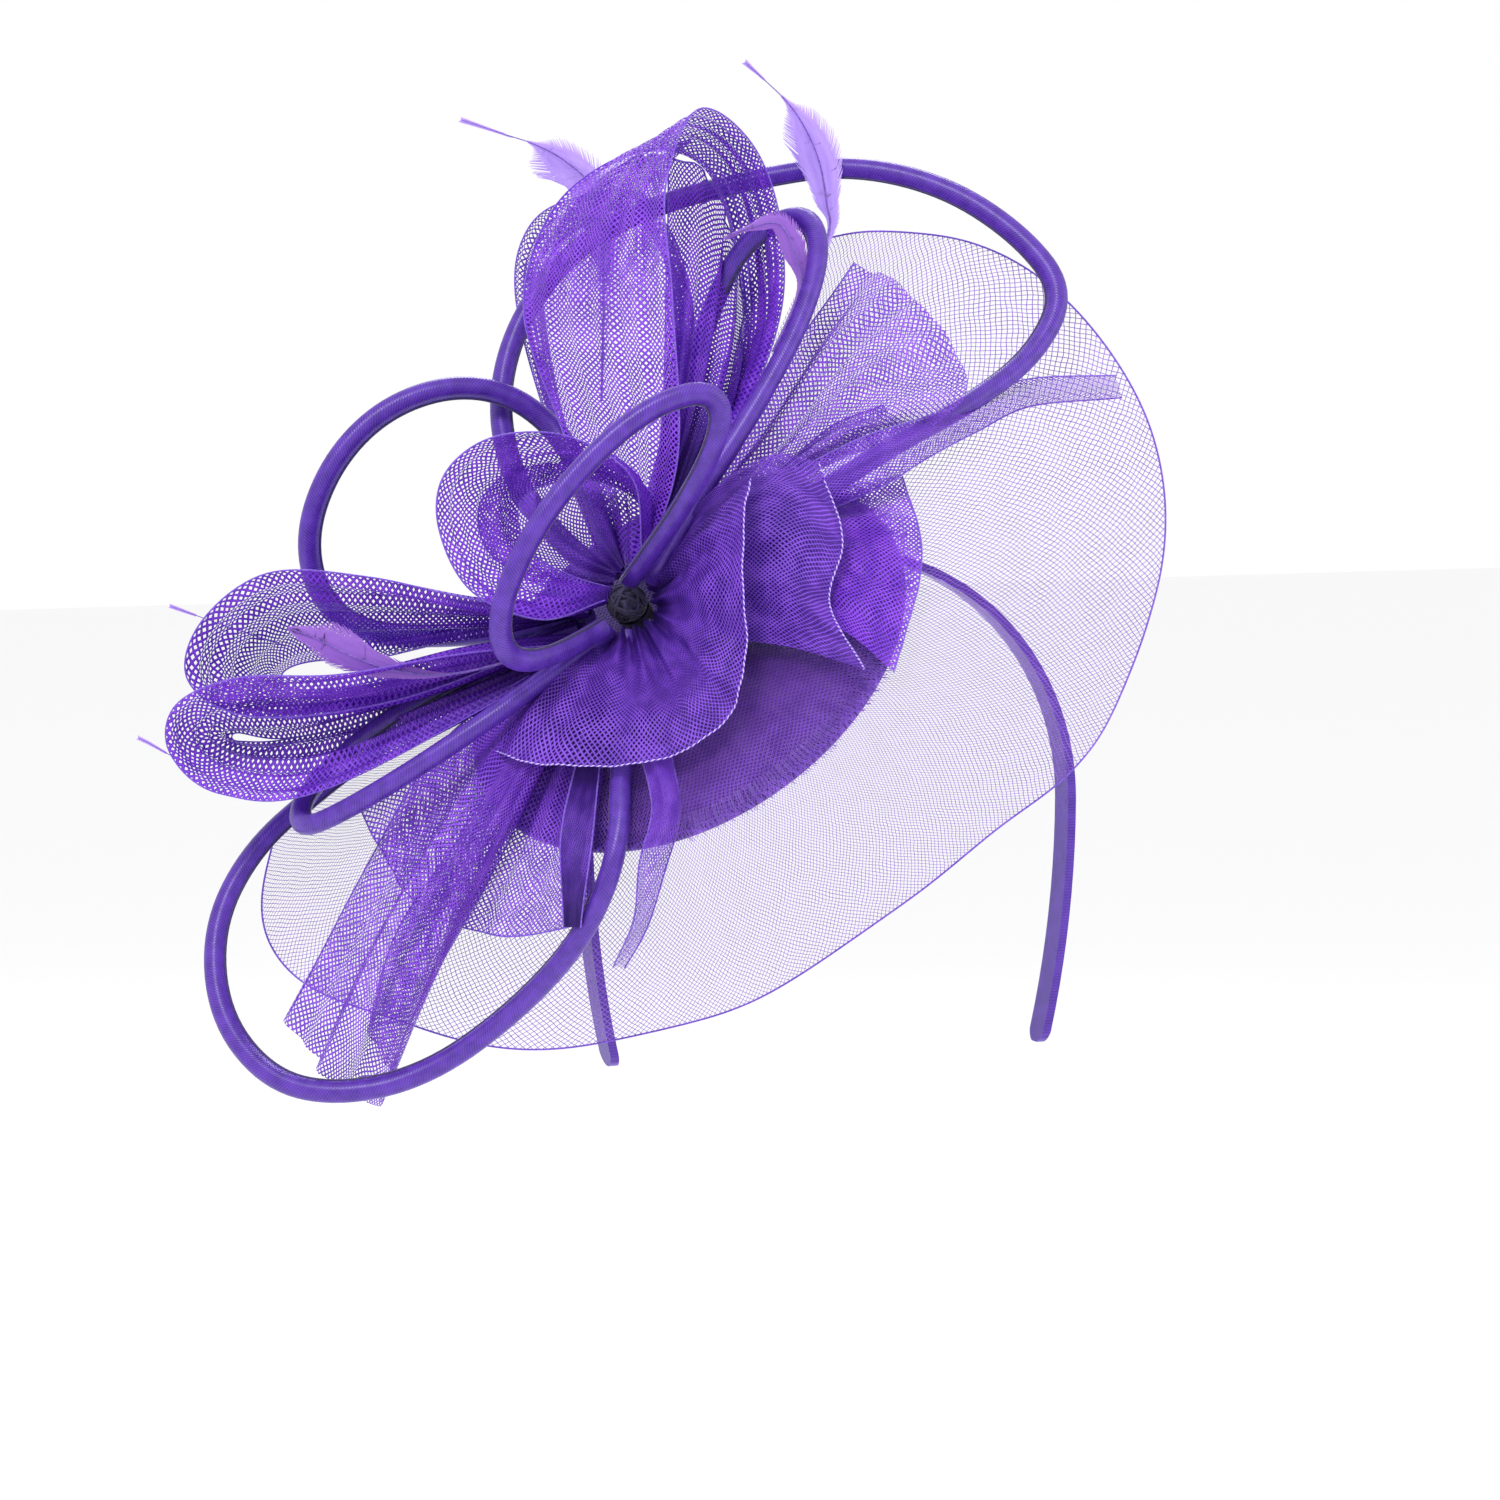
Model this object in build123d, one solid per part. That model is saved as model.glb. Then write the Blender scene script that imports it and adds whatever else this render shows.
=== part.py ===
"""Fascinator headpiece: a satin headband, a tilted base disc with a hair clip under it, and a
trimming of crin loops, petals, satin tube loops, feathers and a wide veil gathered at one knot.

Row frame: millimetres, +Z up, the wearer faces -Y. The origin is the centre of the head that
the headband fits. The trimming is laid out in its own frame, which starts at the knot and faces
forward and slightly to the wearer's right: x across, y up, z outward.
"""

from build123d import *
from math import cos, pi, radians, sin, tan
import os

# Headband, in the plane y = 0.
BAND_TOP_RADIUS = 78.0
BAND_TOP_CENTRE_Z = 26.0
BAND_SIDE_RADIUS = 325.0
BAND_SIDE_DROP = 76.0
BAND_TIP_EASE = 0.3
CORE_WIDTH = 6.0
CORE_THICKNESS = 1.0
SLEEVE_WIDTH = 10.4
SLEEVE_THICKNESS = 2.6
CORE_MARGIN = 2.0

# Base disc, a shallow dome carried on the band at a tilt.
DISC_CENTRE = (-54.0, -25.0, 74.0)
DISC_NORMAL = (-0.607, -0.388, 0.69)
DISC_ALONG = (0.751, 0.0, 0.66)
DISC_RADIUS = 69.0
DISC_RISE = 6.0
DISC_THICKNESS = 2.4
BINDING_RADIUS = 2.0
PAD_LENGTH = 52.0
PAD_WIDTH = 15.0
PAD_THICKNESS = 1.6

# Saddle, the felt block that is sewn round the band under the disc.
SADDLE_LENGTH = 26.0
SADDLE_DEPTH = 15.0
SADDLE_FOOT = -7.6
BAND_NEAR_DISC = (-51.5, 0.0, 84.6)

# Hair clip under the pad, laid along the disc.
CLIP_LENGTH = 46.0
CLIP_WIDTH = 8.0
CLIP_SHEET = 0.8
CLIP_GAP = 3.4
CLIP_PIN_X = -10.0
CLIP_PIN_RADIUS = 0.75
CLIP_PIN_RUNNING = 0.05
CLIP_EAR_THICKNESS = 0.7
CLIP_EAR_RADIUS = 1.5
CLIP_EAR_GAP = 0.4
CLIP_PIN_HEAD = 0.6
CLIP_PIN_HEAD_STEP = 0.5
CLIP_PIN_END_PLAY = 0.2
CLIP_SPRING_RADIUS = 1.25
CLIP_SPRING_BORE_GAP = 0.1
CLIP_BORE_LENGTH = 20.0
CLIP_SPRING_WIDTH = 3.6
CLIP_TAIL_ANGLE = 24.0
CLIP_TAIL_LENGTH = 12.0
CLIP_JAW_WIDTH = 6.6

# Trimming.
KNOT = (-72.0, -23.0, 92.0)
TRIM_TURN = -20.0
TRIM_LIFT = 6.0
KNOT_RADIUS = 10.0
STEM_RADIUS = 6.0
TUBE_RADIUS = 3.2
CRIN_THICKNESS = 0.9
FEATHER_THICKNESS = 0.7
ARC_SHARE = 0.45

VEIL_START = 8.0
VEIL_KNOT_GAP = 10.5
VEIL_FLAT = 54.0
VEIL_BEND_POWER = 1.5
VEIL_THICKNESS = 1.0
VEIL_STEPS = (0.0, 0.25, 0.37, 0.48, 0.62, 0.8, 1.0)
# The veil's outer edge: direction in degrees, distance from the gather, and depth.
VEIL_EDGE = [
    (66, 130, -78), (50, 153, -66), (24, 166, -50), (0, 150, -34), (-20, 131, 2), (-40, 114, 16),
    (-65, 111, 20), (-90, 121, 6), (-120, 138, -16), (-140, 146, -40), (-153, 124, -50),
]

# Crin ribbons and petals. Each line is one rail that the cloth follows, from the knot outward.
CRIN_RAILS = {
    "crin_tall_loop": [
        [(5, 9, 2), (15, 42, 10), (13, 88, 10), (11, 121, 6), (21, 145, -4), (37, 134, -12),
         (45, 107, -14), (41, 74, -12), (12, 12, -4)],
        [(-3, 13, -20), (-21, 56, -48), (-32, 91, -58), (-22, 122, -62), (3, 138, -62),
         (24, 132, -62), (34, 97, -60), (31, 62, -46), (6, 14, -22)],
    ],
    "crin_back_loop": [
        [(-9, 19, -34), (-26, 63, -70), (-35, 97, -78), (-32, 116, -80), (-20, 125, -80),
         (2, 127, -82), (16, 104, -84), (18, 70, -74), (3, 19, -36)],
        [(-7, 17, -44), (-22, 55, -90), (-28, 90, -106), (-26, 108, -110), (-14, 120, -112),
         (2, 121, -114), (12, 103, -112), (13, 68, -96), (2, 18, -46)],
    ],
    "crin_curl_loop": [
        [(-6, 0, 14), (-24, -6, 28), (-44, 2, 36), (-53, 20, 40), (-51, 36, 38), (-37, 47, 32),
         (-15, 48, 24), (4, 36, 16), (7, 12, 10)],
        [(-4, 4, 0), (-16, 7, 0), (-27, 13, 0), (-32, 22, -2), (-31, 31, -6), (-22, 36, -10),
         (-9, 37, -14), (4, 30, -16), (7, 13, -8)],
    ],
    "crin_left_upper_loop": [
        [(-11, -3, 4), (-43, 0, 8), (-75, 7, 12), (-104, 8, 12), (-123, -6, 10), (-127, -23, 8),
         (-108, -33, 6), (-66, -28, 2), (-14, -9, 2)],
        [(-11, -1, -12), (-44, -9, -24), (-74, -16, -34), (-95, -17, -42), (-104, -20, -46),
         (-103, -24, -46), (-92, -26, -44), (-62, -22, -30), (-14, -6, -12)],
    ],
    "crin_left_lower_loop": [
        [(-12, -11, 8), (-45, -14, 14), (-83, -21, 18), (-113, -22, 18), (-131, -30, 16),
         (-133, -44, 12), (-118, -56, 10), (-86, -54, 8), (-14, -16, 6)],
        [(-12, -10, -4), (-46, -22, -12), (-82, -35, -20), (-103, -40, -26), (-116, -39, -28),
         (-117, -41, -28), (-102, -45, -26), (-72, -40, -18), (-14, -13, -6)],
    ],
    "crin_right_fan": [
        [(8, 11, -8), (23, 32, -12), (40, 57, -16), (54, 81, -20), (67, 102, -24)],
        [(10, 10, 0), (26, 28, 0), (46, 50, 0), (65, 75, -4), (84, 91, -8)],
        [(11, 9, 4), (29, 25, 6), (51, 43, 8), (77, 59, 6), (100, 65, 4)],
        [(10, 8, 0), (29, 23, 0), (48, 36, 0), (68, 46, -2), (87, 50, -2)],
        [(9, 9, -8), (25, 25, -14), (43, 41, -20), (60, 55, -24), (76, 60, -26)],
    ],
    "crin_front_petal": [
        [(6, 5, 2), (19, 19, 14), (27, 27, 24), (36, 35, 30)],
        [(8, 1, 4), (19, 7, 22), (27, 11, 34), (34, 15, 40)],
        [(9, -3, 6), (19, -7, 28), (27, -12, 42), (35, -15, 48)],
        [(7, -6, 8), (16, -17, 30), (22, -26, 44), (30, -34, 50)],
        [(3, -8, 8), (9, -23, 30), (12, -33, 44), (14, -45, 50)],
        [(0, -8, 8), (-1, -23, 28), (-3, -35, 40), (-5, -48, 46)],
        [(-4, -8, 6), (-13, -20, 22), (-20, -33, 32), (-27, -47, 36)],
        [(-7, -6, 2), (-19, -15, 9), (-29, -27, 16), (-39, -43, 22)],
    ],
    "crin_middle_petal": [
        [(8, 8, 4), (23, 30, 16), (42, 42, 18), (56, 40, 16)],
        [(10, 5, 5), (26, 22, 17), (48, 28, 24), (63, 18, 28)],
        [(11, 1, 5), (29, 6, 20), (46, 6, 30), (59, -1, 38)],
        [(10, -4, 5), (30, -11, 26), (48, -14, 41), (69, -21, 61)],
    ],
    "crin_outer_petal": [
        [(11, 10, -3), (36, 24, -4), (59, 33, -2), (81, 37, -2)],
        [(12, 6, -2), (39, 12, 6), (62, 15, 17), (86, 12, 24)],
        [(12, 2, 0), (39, -1, 19), (62, -9, 41), (77, -21, 58)],
    ],
    "crin_rear_petal": [
        [(-11, -11, -7), (-38, -31, -5), (-59, -46, -4), (-80, -60, -12)],
        [(-10, -14, -2), (-30, -43, 11), (-46, -69, 16), (-62, -87, 10)],
        [(-7, -15, 1), (-18, -46, 23), (-28, -75, 33), (-36, -97, 27)],
        [(-4, -15, 4), (-7, -46, 29), (-9, -72, 47), (-10, -93, 43)],
    ],
    "crin_lower_tail": [
        [(-12, -13, -3), (-37, -29, 3), (-56, -45, 4), (-78, -81, 2), (-101, -121, -4)],
        [(-10, -15, 6), (-32, -42, 24), (-51, -72, 31), (-68, -101, 28), (-86, -139, 14)],
        [(-8, -16, 6), (-25, -51, 30), (-41, -83, 32), (-58, -116, 14), (-72, -146, -2)],
        [(-9, -15, 2), (-31, -40, 16), (-49, -67, 20), (-68, -97, 4), (-74, -126, -16)],
    ],
    "crin_bottom_tail": [
        [(-10, -29, 18), (-14, -49, 34), (-18, -70, 50), (-17, -94, 48)],
        [(-5, -29, 20), (-7, -49, 36), (-9, -72, 54), (-12, -94, 51)],
    ],
}

# Satin tubes. Each line is the route of a tube's centre, from the knot and back to it.
TUBE_ROUTES = {
    "tube_top_loop": [
        (-8, 8, -14), (-25, 22, -34), (-37, 41, -50), (-41, 65, -63), (-34, 90, -71),
        (-16, 112, -71), (9, 124, -71), (37, 131, -69), (66, 135, -62), (95, 128, -54),
        (118, 112, -44), (131, 94, -35), (122, 75, -28), (103, 60, -17), (78, 46, -1),
        (48, 26, 11), (18, 8, 3)],
    "tube_left_loop": [
        (-4, 10, -16), (-10, 31, -44), (-20, 52, -57), (-36, 65, -52), (-55, 67, -46),
        (-75, 59, -42), (-90, 43, -41), (-98, 22, -44), (-95, 3, -51), (-82, -8, -51),
        (-61, -10, -43), (-33, -8, -30), (-11, -4, -16)],
    "tube_front_ring": [
        (1, 6, 10), (15, 24, 28), (26, 43, 39), (29, 55, 45), (22, 60, 50), (5, 53, 54),
        (-14, 35, 56), (-28, 15, 56), (-36, -5, 52), (-34, -18, 45), (-22, -18, 35), (-7, -8, 15)],
    "tube_low_loop": [
        (-11, -7, -13), (-38, -18, -27), (-68, -37, -34), (-92, -55, -30), (-112, -73, -20),
        (-123, -96, -12), (-120, -122, 0), (-104, -140, 14), (-83, -144, 22), (-57, -138, 22),
        (-31, -119, 30), (-11, -97, 47), (-1, -73, 56), (-1, -48, 38), (1, -23, 18), (0, -10, 7)],
    "tube_narrow_loop": [
        (-5, -9, 8), (-30, -28, 27), (-59, -48, 27), (-83, -62, 18), (-96, -67, 6), (-96, -57, -8),
        (-77, -38, -14), (-47, -20, -13), (-14, -7, -9)],
    "tube_tall_loop": [
        (7, 6, 4), (20, 29, 13), (35, 52, 10), (51, 81, 0), (58, 106, -14), (52, 118, -27),
        (34, 109, -33), (23, 85, -34), (15, 55, -30), (8, 25, -20), (2, 8, -14)],
}

# Feathers. The rails are the two edges of the vane, from its foot to its tip.
FEATHER_RAILS = {
    "feather_back": [
        [(-10, 63, -66), (-15, 108, -93), (-19, 129, -94), (-27, 142, -96), (-39, 146, -97),
         (-54, 152, -98)],
        [(-8, 63, -64), (-10, 108, -92), (-8, 137, -94), (-23, 144, -96), (-39, 148, -97),
         (-54, 153, -98)],
    ],
    "feather_top": [
        [(51, 92, -50), (56, 121, -54), (47, 139, -56), (48, 150, -57), (39, 161, -58),
         (34, 165, -58)],
        [(53, 92, -50), (62, 115, -54), (64, 132, -56), (56, 148, -57), (41, 161, -58),
         (35, 166, -58)],
    ],
    "feather_inner": [
        [(42, 75, -5), (50, 98, -12), (48, 110, -13), (43, 113, -13), (29, 107, -13)],
        [(44, 73, -5), (52, 91, -12), (51, 105, -13), (48, 115, -13), (29, 109, -13)],
    ],
    "feather_left": [
        [(-15, -13, 8), (-49, -22, 10), (-68, -19, 11), (-84, -16, 12), (-98, -9, 13)],
        [(-15, -11, 8), (-49, -20, 10), (-68, -17, 11), (-73, -10, 12), (-97, -7, 13)],
    ],
}
QUILL_RADIUS = 0.6
QUILL_ROUTES = {
    "feather_quill_upper": [(-104, -12, -48), (-122, -6, -52), (-139, 0, -54)],
    "feather_quill_lower": [(-104, -42, -34), (-128, -48, -36), (-147, -40, -38)],
}

TRIM_OUTWARD = Vector(
    sin(radians(TRIM_TURN)) * cos(radians(TRIM_LIFT)),
    -cos(radians(TRIM_TURN)) * cos(radians(TRIM_LIFT)),
    sin(radians(TRIM_LIFT)),
)
TRIM_ACROSS = Vector(cos(radians(TRIM_TURN)), sin(radians(TRIM_TURN)), 0)
TRIM = Plane(origin=KNOT, x_dir=TRIM_ACROSS, z_dir=TRIM_OUTWARD)
DISC = Plane(origin=DISC_CENTRE, x_dir=DISC_ALONG, z_dir=DISC_NORMAL)
UNDERSIDE = DISC_RISE - DISC_THICKNESS / 2


def in_row(points):
    """Trim-frame points as row-frame vectors."""
    return [TRIM.from_local_coords(Vector(*point)) for point in points]


def cloth(rails, thickness):
    """Closed solid of a sheet that follows the rails, with flat facets between their points."""
    rows = len(rails)
    columns = len(rails[0])

    def normal_at(row, column):
        down = rails[min(row + 1, rows - 1)][column] - rails[max(row - 1, 0)][column]
        along = rails[row][min(column + 1, columns - 1)] - rails[row][max(column - 1, 0)]
        return along.cross(down).normalized()

    def side(sign):
        half = sign * thickness / 2
        return [[rails[r][c] + normal_at(r, c) * half for c in range(columns)] for r in range(rows)]

    top = side(1)
    bottom = side(-1)
    triangles = []
    for r in range(rows - 1):
        for c in range(columns - 1):
            for grid in (top, bottom):
                triangles.append((grid[r][c], grid[r][c + 1], grid[r + 1][c + 1]))
                triangles.append((grid[r][c], grid[r + 1][c + 1], grid[r + 1][c]))
    border = [(0, c) for c in range(columns)]
    border += [(r, columns - 1) for r in range(1, rows)]
    border += [(rows - 1, c) for c in range(columns - 2, -1, -1)]
    border += [(r, 0) for r in range(rows - 2, 0, -1)]
    for (r1, c1), (r2, c2) in zip(border, border[1:] + border[:1]):
        triangles.append((top[r1][c1], top[r2][c2], bottom[r2][c2]))
        triangles.append((top[r1][c1], bottom[r2][c2], bottom[r1][c1]))
    faces = [Face(Wire.make_polygon(corners, close=True)) for corners in triangles]
    return Solid(Shell(faces))


def tube(route, radius):
    """Round tube along straight runs joined by tangent arcs as large as the runs allow."""
    arcs = []
    for before, corner, after in zip(route, route[1:], route[2:]):
        run_in = corner - before
        run_out = after - corner
        half_turn = radians(run_in.get_angle(run_out) / 2)
        arcs.append(ARC_SHARE * min(run_in.length, run_out.length) / tan(half_turn))
    path = FilletPolyline(*route, radius=arcs)
    section = Plane(origin=path @ 0, z_dir=path % 0) * Circle(radius)
    solid = sweep(section, path=path)
    expected = pi * radius**2 * path.length
    print(f"  arcs {min(arcs):.1f} to {max(arcs):.1f} mm, volume / expected {solid.volume / expected:.3f}")
    return solid


def band_strip(width, thickness, shorten):
    """Horseshoe strip of the headband: a half circle with a wide arc down each side."""
    drop = BAND_SIDE_DROP - shorten
    angle = drop / BAND_SIDE_RADIUS
    inward = BAND_SIDE_RADIUS * (1 - cos(angle))
    top = CenterArc((0, BAND_TOP_CENTRE_Z), BAND_TOP_RADIUS, 0, 180)
    sides = []
    for hand in (-1, 1):
        start = (hand * BAND_TOP_RADIUS, BAND_TOP_CENTRE_Z)
        end = (hand * (BAND_TOP_RADIUS - inward), BAND_TOP_CENTRE_Z - BAND_SIDE_RADIUS * sin(angle))
        sides.append(RadiusArc(start, end, hand * BAND_SIDE_RADIUS))
    outline = trace([top] + sides, thickness)
    return Plane.XZ * extrude(outline, width / 2, both=True)


def rounded_tips(strip):
    """Strip with both of its tips cut to a half round across the width."""
    box = strip.bounding_box()
    radius = box.size.Y / 2 + BAND_TIP_EASE
    centre = box.min.Z + radius + BAND_TIP_EASE
    wide = 2 * box.size.X
    tall = 2 * box.size.Z
    tip_round = Pos(0, 0, centre) * Rot(0, 90, 0) * Cylinder(radius, wide)
    above_tip = Pos(0, 0, centre + tall / 2) * Box(wide, 2 * radius, tall)
    return strip & (tip_round + above_tip)


def headband():
    """Springy core strip and the satin sleeve that wraps it."""
    core = band_strip(CORE_WIDTH, CORE_THICKNESS, CORE_MARGIN)
    sleeve = rounded_tips(band_strip(SLEEVE_WIDTH, SLEEVE_THICKNESS, 0)) - core
    return {"headband_core": core, "headband_satin_sleeve": sleeve}


def dome(offset):
    """Solid ball whose top is the dome of the disc, moved out by the offset."""
    radius = (DISC_RADIUS**2 + DISC_RISE**2) / (2 * DISC_RISE)
    return Pos(0, 0, DISC_RISE - radius) * Sphere(radius + offset)


def base():
    """Domed disc with a bound rim, the felt pad under it and the saddle sewn round the band."""
    below = dome(-DISC_THICKNESS / 2)
    disc = (dome(DISC_THICKNESS / 2) - below) & Cylinder(DISC_RADIUS, 4 * DISC_RISE)
    binding = Torus(DISC_RADIUS, BINDING_RADIUS) - disc
    pad = Pos(0, 0, UNDERSIDE - PAD_THICKNESS / 2) * Box(PAD_LENGTH, PAD_WIDTH, PAD_THICKNESS)
    band_top = DISC.to_local_coords(Vector(BAND_NEAR_DISC))
    height = DISC_RISE - SADDLE_FOOT
    block = Pos(band_top.X, band_top.Y, SADDLE_FOOT + height / 2)
    block = block * Box(SADDLE_LENGTH, SADDLE_DEPTH, height)
    return {
        "base_disc": DISC * disc,
        "base_rim_binding": DISC * binding,
        "felt_pad": DISC * (pad & below),
        "band_saddle": DISC * (block & below) - band_strip(SLEEVE_WIDTH, SLEEVE_THICKNESS, 0),
    }


def clip():
    """Spring hair clip: a plate under the pad and a jaw that turns on a pin below it."""
    plate_z = UNDERSIDE - PAD_THICKNESS - CLIP_SHEET / 2
    jaw_z = plate_z - CLIP_SHEET - CLIP_GAP
    pin_z = (plate_z + jaw_z) / 2
    ear_y = CLIP_WIDTH / 2 + CLIP_EAR_THICKNESS / 2
    jaw_ear_y = ear_y - CLIP_EAR_THICKNESS - CLIP_EAR_GAP

    def ear(y, z_from, z_to):
        tall = abs(z_from - z_to)
        post = Pos(CLIP_PIN_X, y, (z_from + z_to) / 2) * Box(2 * CLIP_EAR_RADIUS, CLIP_EAR_THICKNESS, tall)
        eye = Pos(CLIP_PIN_X, y, z_to) * Rot(90, 0, 0) * Cylinder(CLIP_EAR_RADIUS, CLIP_EAR_THICKNESS)
        return post + eye

    at_pin = Pos(CLIP_PIN_X, 0, pin_z) * Rot(90, 0, 0)
    hole = at_pin * Cylinder(CLIP_PIN_RADIUS + CLIP_PIN_RUNNING, CLIP_BORE_LENGTH)
    plate = Pos(0, 0, plate_z) * Box(CLIP_LENGTH, CLIP_WIDTH + 2 * CLIP_EAR_THICKNESS, CLIP_SHEET)
    plate = plate + ear(ear_y, plate_z, pin_z) + ear(-ear_y, plate_z, pin_z) - hole

    front = CLIP_LENGTH / 2 - CLIP_PIN_X
    jaw = Pos(CLIP_PIN_X + front / 2, 0, jaw_z) * Box(front, CLIP_JAW_WIDTH, CLIP_SHEET)
    tail = Pos(-CLIP_TAIL_LENGTH / 2, 0, 0) * Box(CLIP_TAIL_LENGTH, CLIP_JAW_WIDTH, CLIP_SHEET)
    tail = Pos(CLIP_PIN_X, 0, jaw_z) * Rot(0, -CLIP_TAIL_ANGLE, 0) * tail
    jaw = jaw + tail + ear(jaw_ear_y, jaw_z, pin_z) + ear(-jaw_ear_y, jaw_z, pin_z) - hole

    pin_length = CLIP_WIDTH + 2 * CLIP_EAR_THICKNESS + CLIP_PIN_END_PLAY
    head = Cylinder(CLIP_PIN_RADIUS + CLIP_PIN_HEAD_STEP, CLIP_PIN_HEAD)
    offset = pin_length / 2 + CLIP_PIN_HEAD / 2
    pin = Cylinder(CLIP_PIN_RADIUS, pin_length) + Pos(0, 0, offset) * head + Pos(0, 0, -offset) * head
    pin = at_pin * pin
    spring_bore = Cylinder(CLIP_PIN_RADIUS + CLIP_SPRING_BORE_GAP, CLIP_BORE_LENGTH)
    spring = at_pin * (Cylinder(CLIP_SPRING_RADIUS, CLIP_SPRING_WIDTH) - spring_bore)
    parts = {"clip_plate": plate, "clip_jaw": jaw, "clip_pin": pin, "clip_spring": spring}
    pivot = DISC.from_local_coords(Vector(CLIP_PIN_X, 0, pin_z))
    print(f"  clip pivot {pivot.X:.3f} {pivot.Y:.3f} {pivot.Z:.3f}, axis {DISC.y_dir}")
    return {name: DISC * solid for name, solid in parts.items()}


def knot():
    """Wrapped thread ball that gathers the trimming, on a short stem sewn to the disc."""
    centre = DISC.to_local_coords(Vector(KNOT))
    ball = Pos(centre.X, centre.Y, centre.Z) * Sphere(KNOT_RADIUS)
    stem = Pos(centre.X, centre.Y, centre.Z / 2) * Cylinder(STEM_RADIUS, centre.Z)
    return DISC * ((ball + stem) - dome(DISC_THICKNESS / 2))


def veil():
    """Fan of stiff net: it follows the disc near the knot, then bends down over its edge."""
    normal = DISC.z_dir
    gather = Vector(*KNOT) - normal * VEIL_KNOT_GAP
    centre = TRIM.to_local_coords(gather)
    tilt_x = -normal.dot(TRIM.x_dir) / normal.dot(TRIM.z_dir)
    tilt_y = -normal.dot(TRIM.y_dir) / normal.dot(TRIM.z_dir)
    rails = []
    for degrees, reach, depth in VEIL_EDGE:
        across = cos(radians(degrees))
        upward = sin(radians(degrees))
        slope = tilt_x * across + tilt_y * upward
        bend = (centre.Z + slope * reach - depth) / (reach - VEIL_FLAT) ** VEIL_BEND_POWER
        rail = []
        for step in VEIL_STEPS:
            distance = VEIL_START + (reach - VEIL_START) * step
            fall = bend * max(0.0, distance - VEIL_FLAT) ** VEIL_BEND_POWER
            z = centre.Z + slope * distance - fall
            rail.append((centre.X + across * distance, centre.Y + upward * distance, z))
        rails.append(in_row(rail))
    return cloth(rails, VEIL_THICKNESS)


def main():
    """Builds every sub-part and writes one STEP file for each."""
    os.makedirs("parts", exist_ok=True)
    parts = headband()
    parts.update(base())
    parts.update(clip())
    parts["binding_knot"] = knot()
    ball = Pos(*KNOT) * Sphere(KNOT_RADIUS)
    parts["veil"] = veil()
    for name, rails in CRIN_RAILS.items():
        parts[name] = cloth([in_row(rail) for rail in rails], CRIN_THICKNESS) - ball
    for name, route in TUBE_ROUTES.items():
        parts[name] = tube(in_row(route), TUBE_RADIUS) - ball
    for name, rails in FEATHER_RAILS.items():
        parts[name] = cloth([in_row(rail) for rail in rails], FEATHER_THICKNESS)
    for name, route in QUILL_ROUTES.items():
        parts[name] = tube(in_row(route), QUILL_RADIUS)
    for name, part in parts.items():
        export_step(part, f"parts/{name}.step")
    print(len(parts), "parts")


main()
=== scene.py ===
"""Looks of the fascinator headpiece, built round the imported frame.

Every piece of trimming is laid out in millimetres in the trim frame, which starts at the knot
and faces forward and slightly to the wearer's right: x across, y up, z outward. Open net is a
single layer of cloth whose threads are drawn on its own UV map, so the weave follows each fold.
"""

import bpy
from math import cos, pi, radians, sin
from random import Random
from mathutils import Matrix, Vector


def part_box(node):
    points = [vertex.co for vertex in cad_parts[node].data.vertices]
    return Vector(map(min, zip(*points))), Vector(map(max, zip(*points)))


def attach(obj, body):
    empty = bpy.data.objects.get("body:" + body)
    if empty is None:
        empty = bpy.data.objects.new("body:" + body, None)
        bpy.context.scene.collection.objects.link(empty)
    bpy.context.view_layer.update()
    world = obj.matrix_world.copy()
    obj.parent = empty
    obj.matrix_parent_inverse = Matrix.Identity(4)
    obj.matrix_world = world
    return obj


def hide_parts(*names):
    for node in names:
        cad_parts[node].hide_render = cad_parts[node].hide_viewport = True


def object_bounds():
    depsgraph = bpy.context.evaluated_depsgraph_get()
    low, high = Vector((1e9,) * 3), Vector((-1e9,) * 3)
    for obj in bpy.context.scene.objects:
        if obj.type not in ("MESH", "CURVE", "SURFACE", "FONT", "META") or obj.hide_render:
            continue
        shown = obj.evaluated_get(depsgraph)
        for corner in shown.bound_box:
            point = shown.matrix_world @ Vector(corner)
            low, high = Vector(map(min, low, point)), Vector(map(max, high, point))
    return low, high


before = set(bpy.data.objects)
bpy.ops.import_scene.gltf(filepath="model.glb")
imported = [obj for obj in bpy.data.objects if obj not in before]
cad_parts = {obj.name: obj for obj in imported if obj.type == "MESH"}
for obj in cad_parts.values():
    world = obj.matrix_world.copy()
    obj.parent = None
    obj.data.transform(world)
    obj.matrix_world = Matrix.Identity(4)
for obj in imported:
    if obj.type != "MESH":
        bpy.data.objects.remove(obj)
CAD_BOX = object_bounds()

MM = 0.001
ROOT = "headpiece"

# Trim frame. The knot's ball is at the front, outer and top end of its node.
TRIM_TURN = radians(-20)
TRIM_LIFT = radians(6)
KNOT_RADIUS = 10.0
KNOT_LOW, KNOT_HIGH = (Vector(corner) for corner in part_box("binding_knot"))
KNOT = Vector((KNOT_LOW.x, KNOT_LOW.y, KNOT_HIGH.z)) + Vector((1, 1, -1)) * KNOT_RADIUS * MM
ACROSS = Vector((cos(TRIM_TURN), sin(TRIM_TURN), 0))
OUTWARD = Vector((sin(TRIM_TURN) * cos(TRIM_LIFT), -cos(TRIM_TURN) * cos(TRIM_LIFT), sin(TRIM_LIFT)))
UPWARD = OUTWARD.cross(ACROSS)

# Disc the trimming sits on.
DISC_NORMAL = Vector((-0.607, -0.388, 0.69)).normalized()
DISC_ALONG = Vector((0.751, 0.0, 0.66)).normalized()
DISC_ACROSS = DISC_NORMAL.cross(DISC_ALONG)
RIM_LOW, RIM_HIGH = (Vector(corner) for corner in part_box("base_rim_binding"))
DISC_CENTRE = (RIM_LOW + RIM_HIGH) / 2
DISC_RADIUS = 69.0
DISC_RISE = 6.0


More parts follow.
